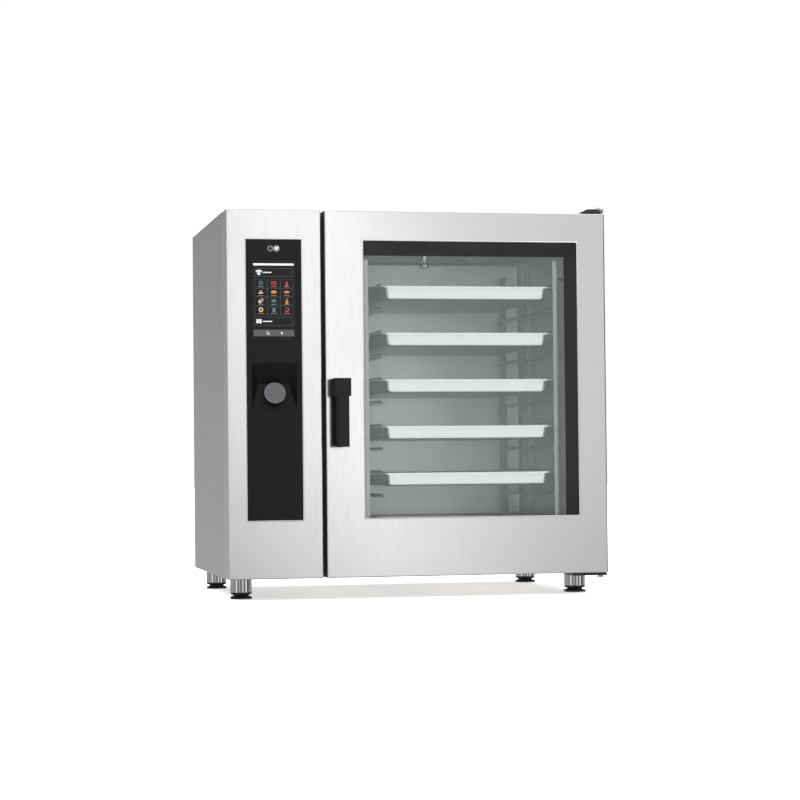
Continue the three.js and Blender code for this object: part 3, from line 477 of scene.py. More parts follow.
def make_smeared(name, base, metallic, mark_mm, detail, sharpest, dullest, distortion=0.0, **sockets):
    """A polished surface: faint smears vary how sharply it reflects."""
    material, tree, shader = new_material(name, base, metallic, (sharpest + dullest) / 2, **sockets)
    coordinates = add_node(tree, "ShaderNodeTexCoord")
    smears = add_node(tree, "ShaderNodeTexNoise", inputs={
        "Vector": coordinates.outputs["Object"], "Scale": 1000 / mark_mm, "Detail": detail,
        "Distortion": distortion})
    smear_range = add_node(tree, "ShaderNodeMapRange", inputs={
        "Value": smears.outputs["Fac"], "From Min": 0.3, "From Max": 0.7, "To Min": sharpest,
        "To Max": dullest})
    tree.links.new(smear_range.outputs["Result"], shader.inputs["Roughness"])
    return material


# polished and plated, which shows the room as clear light and dark bands
chrome = make_smeared("steel_tube_chromed", "#C8CACC", 1.0, 11, 3, 0.05, 0.11)


def make_moulded_plastic(name, base, roughness, texture_mm, depth=0.00004, shine=0.25):
    """Moulded plastic: an even colour over the fine sparkle of an eroded mould."""
    material, tree, shader = new_material(name, base, 0.0, roughness, Specular_IOR_Level=shine)
    coordinates = add_node(tree, "ShaderNodeTexCoord")
    grain = add_node(tree, "ShaderNodeTexNoise", inputs={
        "Vector": coordinates.outputs["Object"], "Scale": 1000 / texture_mm, "Detail": 2})
    rough = add_node(tree, "ShaderNodeMapRange", inputs={
        "Value": grain.outputs["Fac"], "From Min": 0.3, "From Max": 0.7,
        "To Min": roughness - 0.05, "To Max": roughness + 0.06})
    tree.links.new(rough.outputs["Result"], shader.inputs["Roughness"])
    tone = add_node(tree, "ShaderNodeMix", {"data_type": "RGBA"}, {
        0: grain.outputs["Fac"], 6: linear(base), 7: [c * 1.15 for c in linear(base)]})
    tree.links.new(tone.outputs[2], shader.inputs["Base Color"])
    bump = add_node(tree, "ShaderNodeBump", inputs={
        "Height": grain.outputs["Fac"], "Strength": 0.25, "Distance": depth})
    tree.links.new(bump.outputs["Normal"], shader.inputs["Normal"])
    return material


# moulded glossy, so its rims catch the light
black_abs = make_moulded_plastic("abs_moulded_black", "#101011", 0.28, 0.8, shine=0.6)


def turned_mesh(name, profile, place, segments=72, closed=False):
    """A turned shape about its local Z axis. The profile is (radius, height) pairs, from the
    bottom of the axis to its top, or a closed ring when closed is true."""
    bm = bmesh.new()
    rings = []
    for radius, height in profile:
        if radius < 1e-7:
            rings.append([bm.verts.new((0, 0, height))])
            continue
        ring = []
        for i in range(segments):
            angle = 2 * math.pi * i / segments
            ring.append(bm.verts.new((radius * math.cos(angle), radius * math.sin(angle), height)))
        rings.append(ring)
    pairs = list(zip(rings, rings[1:]))
    if closed:
        pairs.append((rings[-1], rings[0]))
    for low, high in pairs:
        for i in range(segments):
            j = (i + 1) % segments
            corners = [low[i % len(low)], low[j % len(low)], high[j % len(high)], high[i % len(high)]]
            bm.faces.new(list(dict.fromkeys(corners)))
    bmesh.ops.recalc_face_normals(bm, faces=bm.faces)
    bm.transform(place)
    return finish_mesh(mesh_of(bm, name))


def rounded_profile(points, radius, steps=4):
    """Rounds the inner corners of a profile with short arcs."""
    rounded = [points[0]]
    for before, corner, after in zip(points, points[1:], points[2:]):
        corner, before, after = Vector(corner), Vector(before), Vector(after)
        to_before, to_after = before - corner, after - corner
        reach = min(radius, to_before.length / 2.1, to_after.length / 2.1)
        start = corner + to_before.normalized() * reach
        end = corner + to_after.normalized() * reach
        for i in range(steps + 1):
            t = i / steps
            point = start * (1 - t) ** 2 + corner * 2 * t * (1 - t) + end * t ** 2
            rounded.append(tuple(point))
    rounded.append(points[-1])
    return rounded


soften("base_frame", galvanised, "oven")

COLLAR_RADIUS = 0.0318
WAIST_RADIUS = 0.0245
BASE_CORNER = 0.0370
BASE_TURN = math.radians(24)  # of the six-sided base about the leg
SKIN = 0.0018  # how far the polished skin lies outside the tube
for corner in ("front_left", "front_right", "rear_left", "rear_right"):
    low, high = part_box(f"leg_sleeve_{corner}")
    middle = Matrix.Translation(((low.x + high.x) / 2, (low.y + high.y) / 2, 0))
    radius = (high.x - low.x) / 2 + SKIN
    sleeve = turned_mesh("sleeve", rounded_profile([
        (0, 0.024), (radius - 0.002, 0.024), (radius - 0.002, low.z),
        (radius, low.z), (radius, high.z), (0, high.z)], 0.0006), middle, 96)
    place_piece(f"leg_tube_{corner}", sleeve, chrome, "oven", [f"leg_sleeve_{corner}"])
    collar = turned_mesh("collar", rounded_profile([
        (0, 0.009), (WAIST_RADIUS - 0.002, 0.009), (WAIST_RADIUS - 0.002, 0.0115),
        (COLLAR_RADIUS, 0.0150), (COLLAR_RADIUS, 0.0192), (0, 0.0192)], 0.0008), middle, 96)
    base = turned_mesh("base", [
        (0, 0), (BASE_CORNER - 0.0035, 0), (BASE_CORNER - 0.001, 0.0008), (BASE_CORNER, 0.0054),
        (BASE_CORNER - 0.0012, 0.0062), (WAIST_RADIUS, 0.0095), (0, 0.0095)],
        middle @ Matrix.Rotation(BASE_TURN, 4, "Z"), 6)
    for polygon in base.polygons:
        polygon.use_smooth = False
    foot = joined_mesh("foot", [collar, base])
    place_piece(f"foot_moulding_{corner}", foot, black_abs, "oven",
                [f"foot_{corner}"])

# ---- Cavity: front frame, liner and seal --------------------------------
# The cavity is welded from polished sheet with rounded corners. The front
# frame closes it to the casing, and a silicone ring seals the door on it.

# pickled after welding, so the walls are a soft matt grey
cavity_steel = make_brushed_steel("stainless_steel_cavity", "#D0D3D2", 0.48, (1.2, 1.2, 50))
soften("front_frame", casing_steel, "oven", fold=0.0012)
soften("cavity_liner", cavity_steel, "oven", fold=0.014)
soften("fan_baffle", cavity_steel, "oven", fold=0.002)


def make_mottled(name, metallic, roughness, mark_mm, tone, other_tone):
    """A surface whose colour drifts in soft patches from one tone to the other."""
    material, tree, shader = new_material(name, tone, metallic, roughness)
    coordinates = add_node(tree, "ShaderNodeTexCoord")
    patches = add_node(tree, "ShaderNodeTexNoise", inputs={
        "Vector": coordinates.outputs["Object"], "Scale": 1000 / mark_mm, "Detail": 4})
    mixed = add_node(tree, "ShaderNodeMix", {"data_type": "RGBA"}, {
        0: patches.outputs["Fac"], 6: linear(tone), 7: linear(other_tone)})
    tree.links.new(mixed.outputs[2], shader.inputs["Base Color"])
    return material


# extruded, with a faint pale bloom on the black
silicone = make_mottled("silicone_extruded_black", 0, 0.62, 25, "#202021", "#323234")
soften("door_seal", silicone, "oven", width=0.0022, segments=4)

# ---- Shelf racks and containers -----------------------------------------
# Each rack is three posts with pressed rails welded on. The containers are
# deep-drawn stainless steel: rolled rim, drafted walls, rounded corners.

# welded and then polished in a bath, so the wires shine a little
rack_steel = make_brushed_steel("stainless_steel_bright", "#6E7170", 0.28, (1.0, 1.0, 40))
soften("rack_left", rack_steel, "oven", width=0.0005)
soften("rack_right", rack_steel, "oven", width=0.0005)

# deep drawn, which leaves a long soft grain along the walls
container_steel = make_brushed_steel("stainless_steel_drawn", "#A4A6A7", 0.34, (60, 1.4, 1.4))


def rounded_loop(bm, half_x, half_y, radius, height, arc_steps=8):
    """A loop of vertices round a rectangle with rounded corners."""
    loop = []
    for index, (sx, sy) in enumerate(((1, 1), (-1, 1), (-1, -1), (1, -1))):
        for step in range(arc_steps + 1):
            angle = math.pi / 2 * (index + step / arc_steps)
            x = sx * (half_x - radius) + radius * math.cos(angle)
            y = sy * (half_y - radius) + radius * math.sin(angle)
            loop.append(bm.verts.new((x, y, height)))
    return loop


def bridge_loops(bm, loops):
    """Joins loops one after another with quads, and fills the last one."""
    for inner, outer in zip(loops, loops[1:]):
        count = len(inner)
        for i in range(count):
            j = (i + 1) % count
            bm.faces.new((inner[i], inner[j], outer[j], outer[i]))
    bm.faces.new(loops[-1])


CONTAINER_METAL = 0.0009
FRONT_STRIP = 0.03  # from the front edge to where the rim's roll changes
FRONT_ROLL = 0.0026  # how much lower the rolled rim hangs at the front


def container_mesh(name, low, high):
    """A gastronorm container that fills the box from low to high."""
    half_x, half_y = (high.x - low.x) / 2, (high.y - low.y) / 2
    depth = high.z - low.z
    rim, draft, floor_round = 0.014, 0.003, 0.008
    # (inset from the rim's edge, height under the rim's top, corner radius)
    section = [(0.0002, -0.0024, 0.022), (0, -0.0016, 0.022), (0.0004, -0.0005, 0.0216),
               (0.0014, 0, 0.021), (rim - 0.004, 0, 0.018), (rim - 0.0016, -0.0008, 0.018),
               (rim - 0.0004, -0.0024, 0.016), (rim, -0.005, 0.014)]
    for step in range(6):
        angle = math.pi / 2 * step / 5
        inset = rim + draft + floor_round * (1 - math.cos(angle))
        height = -depth + CONTAINER_METAL + floor_round * (1 - math.sin(angle))
        section.append((inset, height, 0.014 - 0.002 * step / 5))
    bm = bmesh.new()
    loops = [rounded_loop(bm, half_x - inset, half_y - inset, radius, height)
             for inset, height, radius in section]
    for vertex in loops[0] + loops[1]:
        if vertex.co.y < FRONT_STRIP - half_y:
            vertex.co.z -= FRONT_ROLL
    bridge_loops(bm, loops)
    bmesh.ops.recalc_face_normals(bm, faces=bm.faces)
    centre = ((low.x + high.x) / 2, (low.y + high.y) / 2, high.z)
    bmesh.ops.translate(bm, verts=bm.verts, vec=centre)
    return mesh_of(bm, name)


for number in range(1, 7):
    node = f"gn_container_{number}"
    mesh = container_mesh(node, *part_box(node))
    container = bpy.data.objects.new(f"container_{number}_pressing", mesh)
    bpy.context.scene.collection.objects.link(container)
    wall = container.modifiers.new("wall", "SOLIDIFY")
    wall.thickness = CONTAINER_METAL
    wall.offset = -1
    bpy.context.view_layer.update()
    solid = bpy.data.meshes.new_from_object(
        container.evaluated_get(bpy.context.evaluated_depsgraph_get()))
    bpy.data.objects.remove(container)
    place_piece(f"container_{number}_pressing", finish_mesh(solid, 40), container_steel,
                f"container_{number}", [node])

# ---- Fans, heaters, lamp and wash fittings ------------------------------
# Behind the baffle: two turned and bladed wheels, ringed by tube heaters.
# In the cavity: a lamp, a rinse nozzle and the strainer over the drain.

for level in ("upper", "lower"):
    soften(f"fan_wheel_{level}", cavity_steel, f"fan_{level}")

# heated red in use, which leaves a dark brown scale in patches
heater_metal = make_mottled("heater_tube_oxidised", 0.9, 0.5, 17, "#3A3432", "#6B5A50")
for level in ("upper", "lower"):
    nodes[f"ring_heater_{level}"].data.materials.clear()
    nodes[f"ring_heater_{level}"].data.materials.append(heater_metal)

# sand-blasted glass, which glows evenly from the bulb behind it
lamp_glass, tree, shader = new_material(
    "lamp_glass_frosted", "#F4F1E6", 0, 0.35, Emission_Color=linear("#FFF3D8"), Emission_Strength=0.6)
coordinates = add_node(tree, "ShaderNodeTexCoord")
frost = add_node(tree, "ShaderNodeTexNoise", inputs={
    "Vector": coordinates.outputs["Object"], "Scale": 700, "Detail": 1})
frost_bump = add_node(tree, "ShaderNodeBump", inputs={
    "Height": frost.outputs["Fac"], "Strength": 0.3, "Distance": 0.0001})
tree.links.new(frost_bump.outputs["Normal"], shader.inputs["Normal"])
low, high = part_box("cavity_lamp")
FACING_FRONT = Matrix.Rotation(math.radians(90), 4, "X")
lamp_place = Matrix.Translation(((low.x + high.x) / 2, high.y, (low.z + high.z) / 2)) @ FACING_FRONT
lamp_radius, lamp_depth = (high.x - low.x) / 2, high.y - low.y
place_piece("cavity_lamp_lens", turned_mesh("lamp", rounded_profile([
    (0, 0), (lamp_radius, 0), (lamp_radius, 0.0075), (lamp_radius - 0.006, 0.009),
    (0.026, lamp_depth - 0.002), (0.012, lamp_depth), (0, lamp_depth)], 0.002), lamp_place),
    lamp_glass, "oven", ["cavity_lamp"])

low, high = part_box("wash_nozzle")
nozzle_place = Matrix.Translation(((low.x + high.x) / 2, (low.y + high.y) / 2, high.z))
place_piece("wash_nozzle_turned", turned_mesh("nozzle", rounded_profile([
    (0, -0.052), (0.012, -0.050), (0.015, -0.040), (0.010, -0.030), (0.010, -0.008),
    (0.022, -0.006), (0.022, 0), (0, 0)], 0.0012), nozzle_place),
    chrome, "oven", ["wash_nozzle"])
soften("drain_strainer", rack_steel, "oven", width=0.0005)

# ---- Door: skin, inner panel and panes ----------------------------------
# The skin is one folded pan with the window cut out. A clear pane closes it
# outside and a heat-coated one inside, and a black moulded funnel joins them
# round the window. A thin black strip runs along each side; the one on the hinge side is painted shade.

# ground like the column's cover
door_steel = make_brushed_steel("stainless_steel_door", "#D8D9DB", 0.16)
soften("door_skin", door_steel, "door", fold=0.0028)
soften("door_inner_panel", cavity_steel, "door")

# float glass, clear but for a slight film of grease
clear_glass = make_smeared("float_glass_clear", "#2A2E2E", 0, 333, 3, 0.02, 0.06, Alpha=0.12)
soften("door_outer_glass", clear_glass, "door", width=0.0006)
# float glass with a heat-reflecting coat; its pale grey base is a painted reflection of the bright room,
# which lies over the cavity as a faint grey haze
coated_glass = make_smeared("float_glass_heat_coated", "#8A8F8E", 0, 500, 2, 0.04, 0.09, Alpha=0.20)
soften("door_inner_glass", coated_glass, "door", width=0.0006)
# a heat-proof moulding with the fine matt of an eroded mould
surround_plastic = make_moulded_plastic("polymer_moulded_black", "#19191A", 0.5, 0.9)
soften("window_surround", surround_plastic, "door", width=0.0006)


def bead_mesh(name, x0, x1, z0, z1, front, width, height):
    """A half-round bead round an opening in the XZ plane, standing out to the front."""
    section = [(0.0, 0.0)]
    for i in range(1, 8):
        angle = math.pi * i / 8
        section.append((width / 2 * (1 - math.cos(angle)), height * math.sin(angle)))
    section.append((width, 0.0))
    bm = bmesh.new()
    loops = []
    for out, up in section:
        loops.append([bm.verts.new((x, front - up, z)) for x, z in (
            (x0 - out, z0 - out), (x1 + out, z0 - out), (x1 + out, z1 + out), (x0 - out, z1 + out))])
    for inner, outer in zip(loops, loops[1:] + loops[:1]):
        for i in range(4):
            j = (i + 1) % 4
            bm.faces.new((inner[i], inner[j], outer[j], outer[i]))
    bmesh.ops.recalc_face_normals(bm, faces=bm.faces)
    return finish_mesh(mesh_of(bm, name))


# a bright half-round bead frames the window, a painted highlight for the skin's rounded window edge, with a
# soft bright line along its crown
bead_steel = make_brushed_steel("stainless_steel_polished", "#EDEEF0", 0.22, (2, 2, 2))
BEAD_WIDTH, BEAD_HEIGHT = 0.0034, 0.0012
STAND_OFF = 0.00005  # keeps a part clear of the face it lies on
WINDOW = (-0.167, 0.487, 0.240, 1.060)  # left, right, bottom and top of the opening
door_low, door_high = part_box("door_skin")
window_bead = bead_mesh("window_bead", *WINDOW, door_low.y - STAND_OFF, BEAD_WIDTH, BEAD_HEIGHT)
place_piece("window_bead", window_bead, bead_steel, "door")

# black strips along the door's sides, the hinge side's one painted shade: (name, side face, thickness
# outwards, set back, depth)
DOOR_DEPTH = door_high.y - door_low.y
EDGE_TRIMS = (("door_edge_trim", door_low.x, -0.0006, 0.0016, DOOR_DEPTH - 0.0001),
              ("door_hinge_side_trim", door_high.x, 0.0012, 0.0010, 0.012))
for name, side, thickness, set_back, depth in EDGE_TRIMS:
    near = Vector((side + thickness, door_low.y + set_back, door_low.z + 0.001))
    far = Vector((side + math.copysign(STAND_OFF, thickness), near.y + depth, door_high.z - 0.001))
    size = Vector([abs(start - end) for start, end in zip(near, far)])
    bm = bmesh.new()
    bmesh.ops.create_cube(bm, size=1)
    bmesh.ops.transform(bm, verts=bm.verts, matrix=Matrix.LocRotScale((near + far) / 2, None, size))
    bmesh.ops.bevel(bm, geom=bm.edges, offset=0.0002, segments=2, profile=0.5, affect="EDGES")
    place_piece(name, finish_mesh(mesh_of(bm, name)), surround_plastic, "door")

# ---- Handle and latch ---------------------------------------------------
# One moulding in black reinforced plastic, square at its head and slimmer
# at its grip, on a bright steel shaft with a flat tongue.

# glass-filled nylon: the front is satin; the flanks get a duller, less shiny copy of it, which is painted
# shade
handle_plastic = make_moulded_plastic("nylon_glass_filled_black", "#0B0B0C", 0.30, 0.7, shine=0.28)
handle = soften("door_handle", handle_plastic, "handle", width=0.0014, segments=4)
flank_plastic = make_moulded_plastic("nylon_eroded_black", "#0C0C0D", 0.60, 0.7, shine=0.06)
handle.data.materials.append(flank_plastic)
FRONTMOST = -0.6  # faces that look less far to the front than this are flanks
for polygon in handle.data.polygons:
    if polygon.normal.y > FRONTMOST:
        polygon.material_index = 1
soften("latch_shaft", chrome, "handle", width=0.0006)
soften("latch_keeper", galvanised, "oven")

# ---- Hinges -------------------------------------------------------------
# Powder-coated steel brackets above and below the door, bolted to the casing,
# each with a bright turned pin. A wire ring locks the upper pin.

# powder coated and baked, which leaves a slight orange peel
powder_coat = make_moulded_plastic("steel_powder_coated_black", "#1E1E20", 0.35, 1.2, 0.00006)
soften("hinge_bracket_bottom", powder_coat, "oven", width=0.0010, segments=3)


def add_plate(bm, outline, hole=None, *, front, depth):
    """Adds a thin plate in the XZ plane. The outline and the hole are lists of (x, z)."""
    loops = []
    for loop in ([outline, hole] if hole else [outline]):
        loops.append([[bm.verts.new((x, y, z)) for x, z in loop] for y in (front, front + depth)])
    for (near, far), outside in zip(loops, (True, False)):
        for i in range(len(near)):
            j = (i + 1) % len(near)
            side = (near[i], near[j], far[j], far[i])
            bm.faces.new(side if outside else side[::-1])
    if hole:
        for (outer, inner) in ((loops[0][0], loops[1][0]), (loops[0][1], loops[1][1])):
            for i in range(len(outer)):
                j = (i + 1) % len(outer)
                bm.faces.new((outer[i], outer[j], inner[j], inner[i]))
    else:
        bm.faces.new(loops[0][0])
        bm.faces.new(loops[0][1])


# the top bracket slopes down at its free end and has its far corner cut
bracket_low, bracket_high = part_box("hinge_bracket_top")
profile = [(bracket_low.x, bracket_low.z), (bracket_high.x, bracket_low.z),
           (bracket_high.x, bracket_high.z - 0.005), (bracket_high.x - 0.006, bracket_high.z),
           (bracket_low.x + 0.020, bracket_high.z), (bracket_low.x + 0.003, bracket_low.z + 0.002)]
bm = bmesh.new()
add_plate(bm, profile, front=bracket_low.y, depth=bracket_high.y - bracket_low.y)
bmesh.ops.recalc_face_normals(bm, faces=bm.faces)
bmesh.ops.bevel(bm, geom=bm.edges, offset=0.0008, segments=3, profile=0.5, affect="EDGES")
place_piece("hinge_bracket_top_casting", finish_mesh(mesh_of(bm, "hinge_bracket_top")), powder_coat,
            "oven", ["hinge_bracket_top"])
PIN_RADIUS = 0.006
WASHER_RADIUS = 0.0125
low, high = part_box("hinge_pin_top")
pin_place = Matrix.Translation(((low.x + high.x) / 2, (low.y + high.y) / 2, 0))
seat = bracket_high.z + 0.0002  # the washer stands just clear of the bracket
place_piece("hinge_pin_top_turned", turned_mesh("pin", rounded_profile([
    (0, low.z), (PIN_RADIUS, low.z), (PIN_RADIUS, seat), (WASHER_RADIUS, seat),
    (WASHER_RADIUS, seat + 0.0030), (0.0085, high.z - 0.0010), (0.0040, high.z), (0, high.z)],
    0.0010), pin_place), chrome, "oven", ["hinge_pin_top"])
RING_RADIUS, WIRE_RADIUS, RING_LEAN = 0.0062, 0.0011, math.radians(62)
RING_INSET, RING_OUT = 0.004, 0.0016  # from the bracket's corner and from its front
WIRE_SIDES, RING_SIDES = 12, 36
ring_section = []
for i in range(WIRE_SIDES):
    angle = 2 * math.pi * i / WIRE_SIDES
    ring_section.append((RING_RADIUS + WIRE_RADIUS * math.cos(angle), WIRE_RADIUS * math.sin(angle)))
ring_place = (Matrix.Translation((bracket_high.x - RING_INSET, bracket_low.y - RING_OUT,
                                  bracket_high.z - RING_INSET))
              @ Matrix.Rotation(RING_LEAN, 4, "X"))
place_piece("hinge_lock_ring", turned_mesh("ring", ring_section, ring_place, RING_SIDES, closed=True),
            chrome, "oven")
low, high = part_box("hinge_pin_bottom")
pin_place = Matrix.Translation(((low.x + high.x) / 2, (low.y + high.y) / 2, 0))
head_radius = (high.x - low.x) / 2
head_top = low.z + 0.0067
place_piece("hinge_pin_bottom_turned", turned_mesh("pin", rounded_profile([
    (0, low.z), (head_radius, low.z), (head_radius, head_top), (PIN_RADIUS, head_top),
    (PIN_RADIUS, high.z), (0, high.z)], 0.0012), pin_place), chrome, "oven",
    ["hinge_pin_bottom"])

# ---- Control panel ------------------------------------------------------
# A black moulding with a film of gloss lacquer, sunk into a well round the
# knob. The screen is a pane of black glass flush with it.

# sprayed and wiped daily: the lacquer keeps an orange peel and a faint bloom of wiping
panel_gloss, tree, shader = new_material(
    "abs_lacquered_black", "#0E0E0F", 0, 0.24, Specular_IOR_Level=0.13)
coordinates = add_node(tree, "ShaderNodeTexCoord")
orange_peel = add_node(tree, "ShaderNodeTexNoise", inputs={
    "Vector": coordinates.outputs["Object"], "Scale": 180, "Detail": 2})
peel_bump = add_node(tree, "ShaderNodeBump", inputs={
    "Height": orange_peel.outputs["Fac"], "Strength": 0.08, "Distance": 0.0001})
tree.links.new(peel_bump.outputs["Normal"], shader.inputs["Normal"])
wipe_marks = add_node(tree, "ShaderNodeMapRange", inputs={
    "Value": orange_peel.outputs["Fac"], "To Min": 0.18, "To Max": 0.26})
tree.links.new(wipe_marks.outputs["Result"], shader.inputs["Roughness"])
soften("control_panel", panel_gloss, "oven", width=0.0009, segments=3)

# hardened glass printed black behind, with the drawn-out smears of fingers
screen_glass = make_smeared(
    "screen_glass_black", "#0C0C0D", 0, 40, 4, 0.08, 0.16, distortion=1.0, Specular_IOR_Level=0.15)
soften("touch_display", screen_glass, "oven", width=0.0005)

# ---- Picture on the screen ----------------------------------------------
# A light bar, two framed buttons and a grid of twelve small pictures, drawn
# as thin glowing plates on the glass. No words, only plain strokes.

display_low, display_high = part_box("touch_display")
PICTURE_DEPTH = 0.00015


def make_screen_light(name, colour, strength=0.08):
    """A lit part of the screen: an even colour over its fine raster of dots."""
    material, tree, shader = new_material(name, colour, 0, 0.25)
    coordinates = add_node(tree, "ShaderNodeTexCoord")
    raster = add_node(tree, "ShaderNodeTexChecker", inputs={
        "Vector": coordinates.outputs["Object"], "Scale": 3000,
        "Color1": linear(colour), "Color2": [c * 0.8 for c in linear(colour)]})
    tree.links.new(raster.outputs["Color"], shader.inputs["Base Color"])
    tree.links.new(raster.outputs["Color"], shader.inputs["Emission Color"])
    shader.inputs["Emission Strength"].default_value = strength
    return material


def oblong(x, z, width, height):
    return [(x - width / 2, z - height / 2), (x + width / 2, z - height / 2),
            (x + width / 2, z + height / 2), (x - width / 2, z + height / 2)]


def circle(x, z, radius, squash=1.0, count=28):
    return [(x + radius * math.cos(2 * math.pi * i / count),
             z + radius * squash * math.sin(2 * math.pi * i / count)) for i in range(count)]


def drop(x, z, radius):
    """A flame or drop: round below and pointed above."""
    return [(x + radius * math.sin(t) * math.sin(t / 2) ** 1.5,
             z + radius * 1.5 * math.cos(t)) for t in [2 * math.pi * i / 28 for i in range(28)]]


def frame_of(x, z, width, height, line=0.0008):
    return oblong(x, z, width, height), oblong(x, z, width - 2 * line, height - 2 * line)


def place_plates(name, plates, front, material):
    """Makes one piece of thin plates that lie on a face."""
    bm = bmesh.new()
    for plate in plates:
        add_plate(bm, *plate, front=front, depth=PICTURE_DEPTH)
    bmesh.ops.recalc_face_normals(bm, faces=bm.faces)
    place_piece(name, mesh_of(bm, name), material, "oven")


SCREEN_MIDDLE = (display_low.x + display_high.x) / 2
COLUMNS = [SCREEN_MIDDLE + step for step in (-0.038, 0.0005, 0.039)]
ROWS = [0.9305, 0.9045, 0.8785, 0.8525]
CELL_WIDTH, CELL_HEIGHT = 0.0375, 0.0255
screen_plates = {
    # a bar at the top, a cook's hat and an open book, each with a stroke beside it on its
    # button, and three small marks at the foot
    "white": [(oblong(SCREEN_MIDDLE, 0.9875, 0.120, 0.0062),),
              (circle(-0.4795, 0.9682, 0.0040),), (circle(-0.4850, 0.9672, 0.0034),),
              (circle(-0.4740, 0.9672, 0.0034),), (oblong(-0.4795, 0.9600, 0.0085, 0.0068),),
              (oblong(-0.4550, 0.9640, 0.0260, 0.0030),), (oblong(-0.4550, 0.8200, 0.0280, 0.0030),),
              (oblong(-0.4842, 0.8205, 0.0068, 0.0120),), (oblong(-0.4758, 0.8205, 0.0068, 0.0120),),
              (oblong(-0.4550, 0.7875, 0.0080, 0.0080), oblong(-0.4550, 0.7875, 0.0062, 0.0062)),
              (oblong(-0.4520, 0.7835, 0.0050, 0.0050),), (circle(-0.4130, 0.7860, 0.0030),)],
    "grey": [frame_of(SCREEN_MIDDLE, 0.9640, 0.112, 0.0250),
             frame_of(SCREEN_MIDDLE, 0.8205, 0.112, 0.0260),
             (oblong(SCREEN_MIDDLE, 0.7860, 0.120, 0.0190), oblong(SCREEN_MIDDLE, 0.7860, 0.0002, 0.0002)),
             *[frame_of(x, z, CELL_WIDTH, CELL_HEIGHT, 0.0005) for x in COLUMNS for z in ROWS]],
    "mid_grey": [(oblong(x, z - 0.0085, 0.0160, 0.0018),) for x in COLUMNS for z in ROWS],
    "teal": [(circle(COLUMNS[0], ROWS[0] + 0.002, 0.0062), circle(COLUMNS[0], ROWS[0] + 0.002, 0.0030)),
             (oblong(COLUMNS[1], ROWS[2] + 0.002, 0.0140, 0.0085),),
             (oblong(COLUMNS[1], ROWS[3] + 0.0060, 0.0120, 0.0032),),
             (oblong(COLUMNS[1], ROWS[3] - 0.0030, 0.0120, 0.0032),)],
    "red": [(oblong(COLUMNS[1], ROWS[0] + 0.002, 0.0150, 0.0100),
             oblong(COLUMNS[1], ROWS[0] + 0.002, 0.0070, 0.0040)),
            (drop(COLUMNS[2], ROWS[0] + 0.001, 0.0060),),
            (circle(COLUMNS[2], ROWS[3] + 0.002, 0.0068),
             circle(COLUMNS[2] - 0.001, ROWS[3] + 0.003, 0.0040))],
    "orange": [(circle(COLUMNS[1], ROWS[1] + 0.002, 0.0090, 0.55),),
               (circle(COLUMNS[2], ROWS[1] + 0.002, 0.0085, 0.45),),
               (drop(COLUMNS[2], ROWS[2] + 0.001, 0.0062),)],
    "yellow": [(circle(COLUMNS[0] - 0.002, ROWS[2], 0.0055),),
               (oblong(COLUMNS[0], ROWS[1] - 0.001, 0.0130, 0.0045),),
               (circle(COLUMNS[0], ROWS[3] + 0.002, 0.0068), circle(COLUMNS[0], ROWS[3] + 0.002, 0.0032))],
    "pink": [(circle(COLUMNS[0] + 0.003, ROWS[2] + 0.004, 0.0048),)],
    "green": [(oblong(COLUMNS[0], ROWS[1] + 0.0045, 0.0070, 0.0050),),
              (oblong(COLUMNS[1], ROWS[3] + 0.0015, 0.0060, 0.0050),)],
}
screen_colours = {
    "white": "#B8B9BB", "grey": "#3D3E40", "mid_grey": "#5C5D5F", "teal": "#265C5C", "red": "#8A261F",
    "orange": "#9B5F26", "yellow": "#A2945F", "pink": "#946D82", "green": "#66743B"}
for colour, plates in screen_plates.items():
    layer = 2.2 if colour in ("white", "green") else 1.0  # these lie over the others
    light = make_screen_light(f"screen_light_{colour}", screen_colours[colour])
    place_plates(f"screen_picture_{colour}", plates,
                 display_low.y - layer * PICTURE_DEPTH - STAND_OFF, light)

# the standby mark above the screen: a dim ring, and a lit disc with a tick in it
panel_low, panel_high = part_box("control_panel")
MARK_LEFT, MARK_RIGHT, MARK_HEIGHT = -0.4450, -0.4270, 1.0346
MARK_RADIUS, MARK_HOLE = 0.0092, 0.0042
TICK = [(-0.0055, 0.0020), (-0.0035, 0.0040), (-0.0005, 0.0008),
        (0.0045, 0.0052), (0.0062, 0.0032), (-0.0007, -0.0038)]  # from the disc's middle
MARK_LAYER = 1.2  # from one layer of ink to the next, in depths of a plate
mark_plates = {
    "dim": ("#525355", [(circle(MARK_LEFT, MARK_HEIGHT, MARK_RADIUS),
                         circle(MARK_LEFT, MARK_HEIGHT, MARK_HOLE))]),
    "lit": ("#6E6F71", [(circle(MARK_RIGHT, MARK_HEIGHT, MARK_RADIUS),)]),
    "tick": ("#E2E3E5", [([(MARK_RIGHT + x, MARK_HEIGHT + z) for x, z in TICK],)])}
for step, (name, (colour, plates)) in enumerate(mark_plates.items(), 1):
    place_plates(f"standby_mark_{name}", plates,
                 panel_low.y - STAND_OFF - step * PICTURE_DEPTH * MARK_LAYER,
                 make_screen_light(f"printed_ink_{name}", colour, 0.1))

# a thin bright bead frames the panel in the column, a painted highlight along the edge of its opening
PANEL_LIP = 0.008  # the panel's hidden edge behind the sheet
cover_low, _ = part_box("column_cover")
panel_bead = bead_mesh(
    "panel_bead", panel_low.x + PANEL_LIP, panel_high.x - PANEL_LIP, panel_low.z + PANEL_LIP,
    panel_high.z - PANEL_LIP, cover_low.y - STAND_OFF, BEAD_WIDTH, BEAD_HEIGHT)
place_piece("panel_bead", panel_bead, bead_steel, "oven")
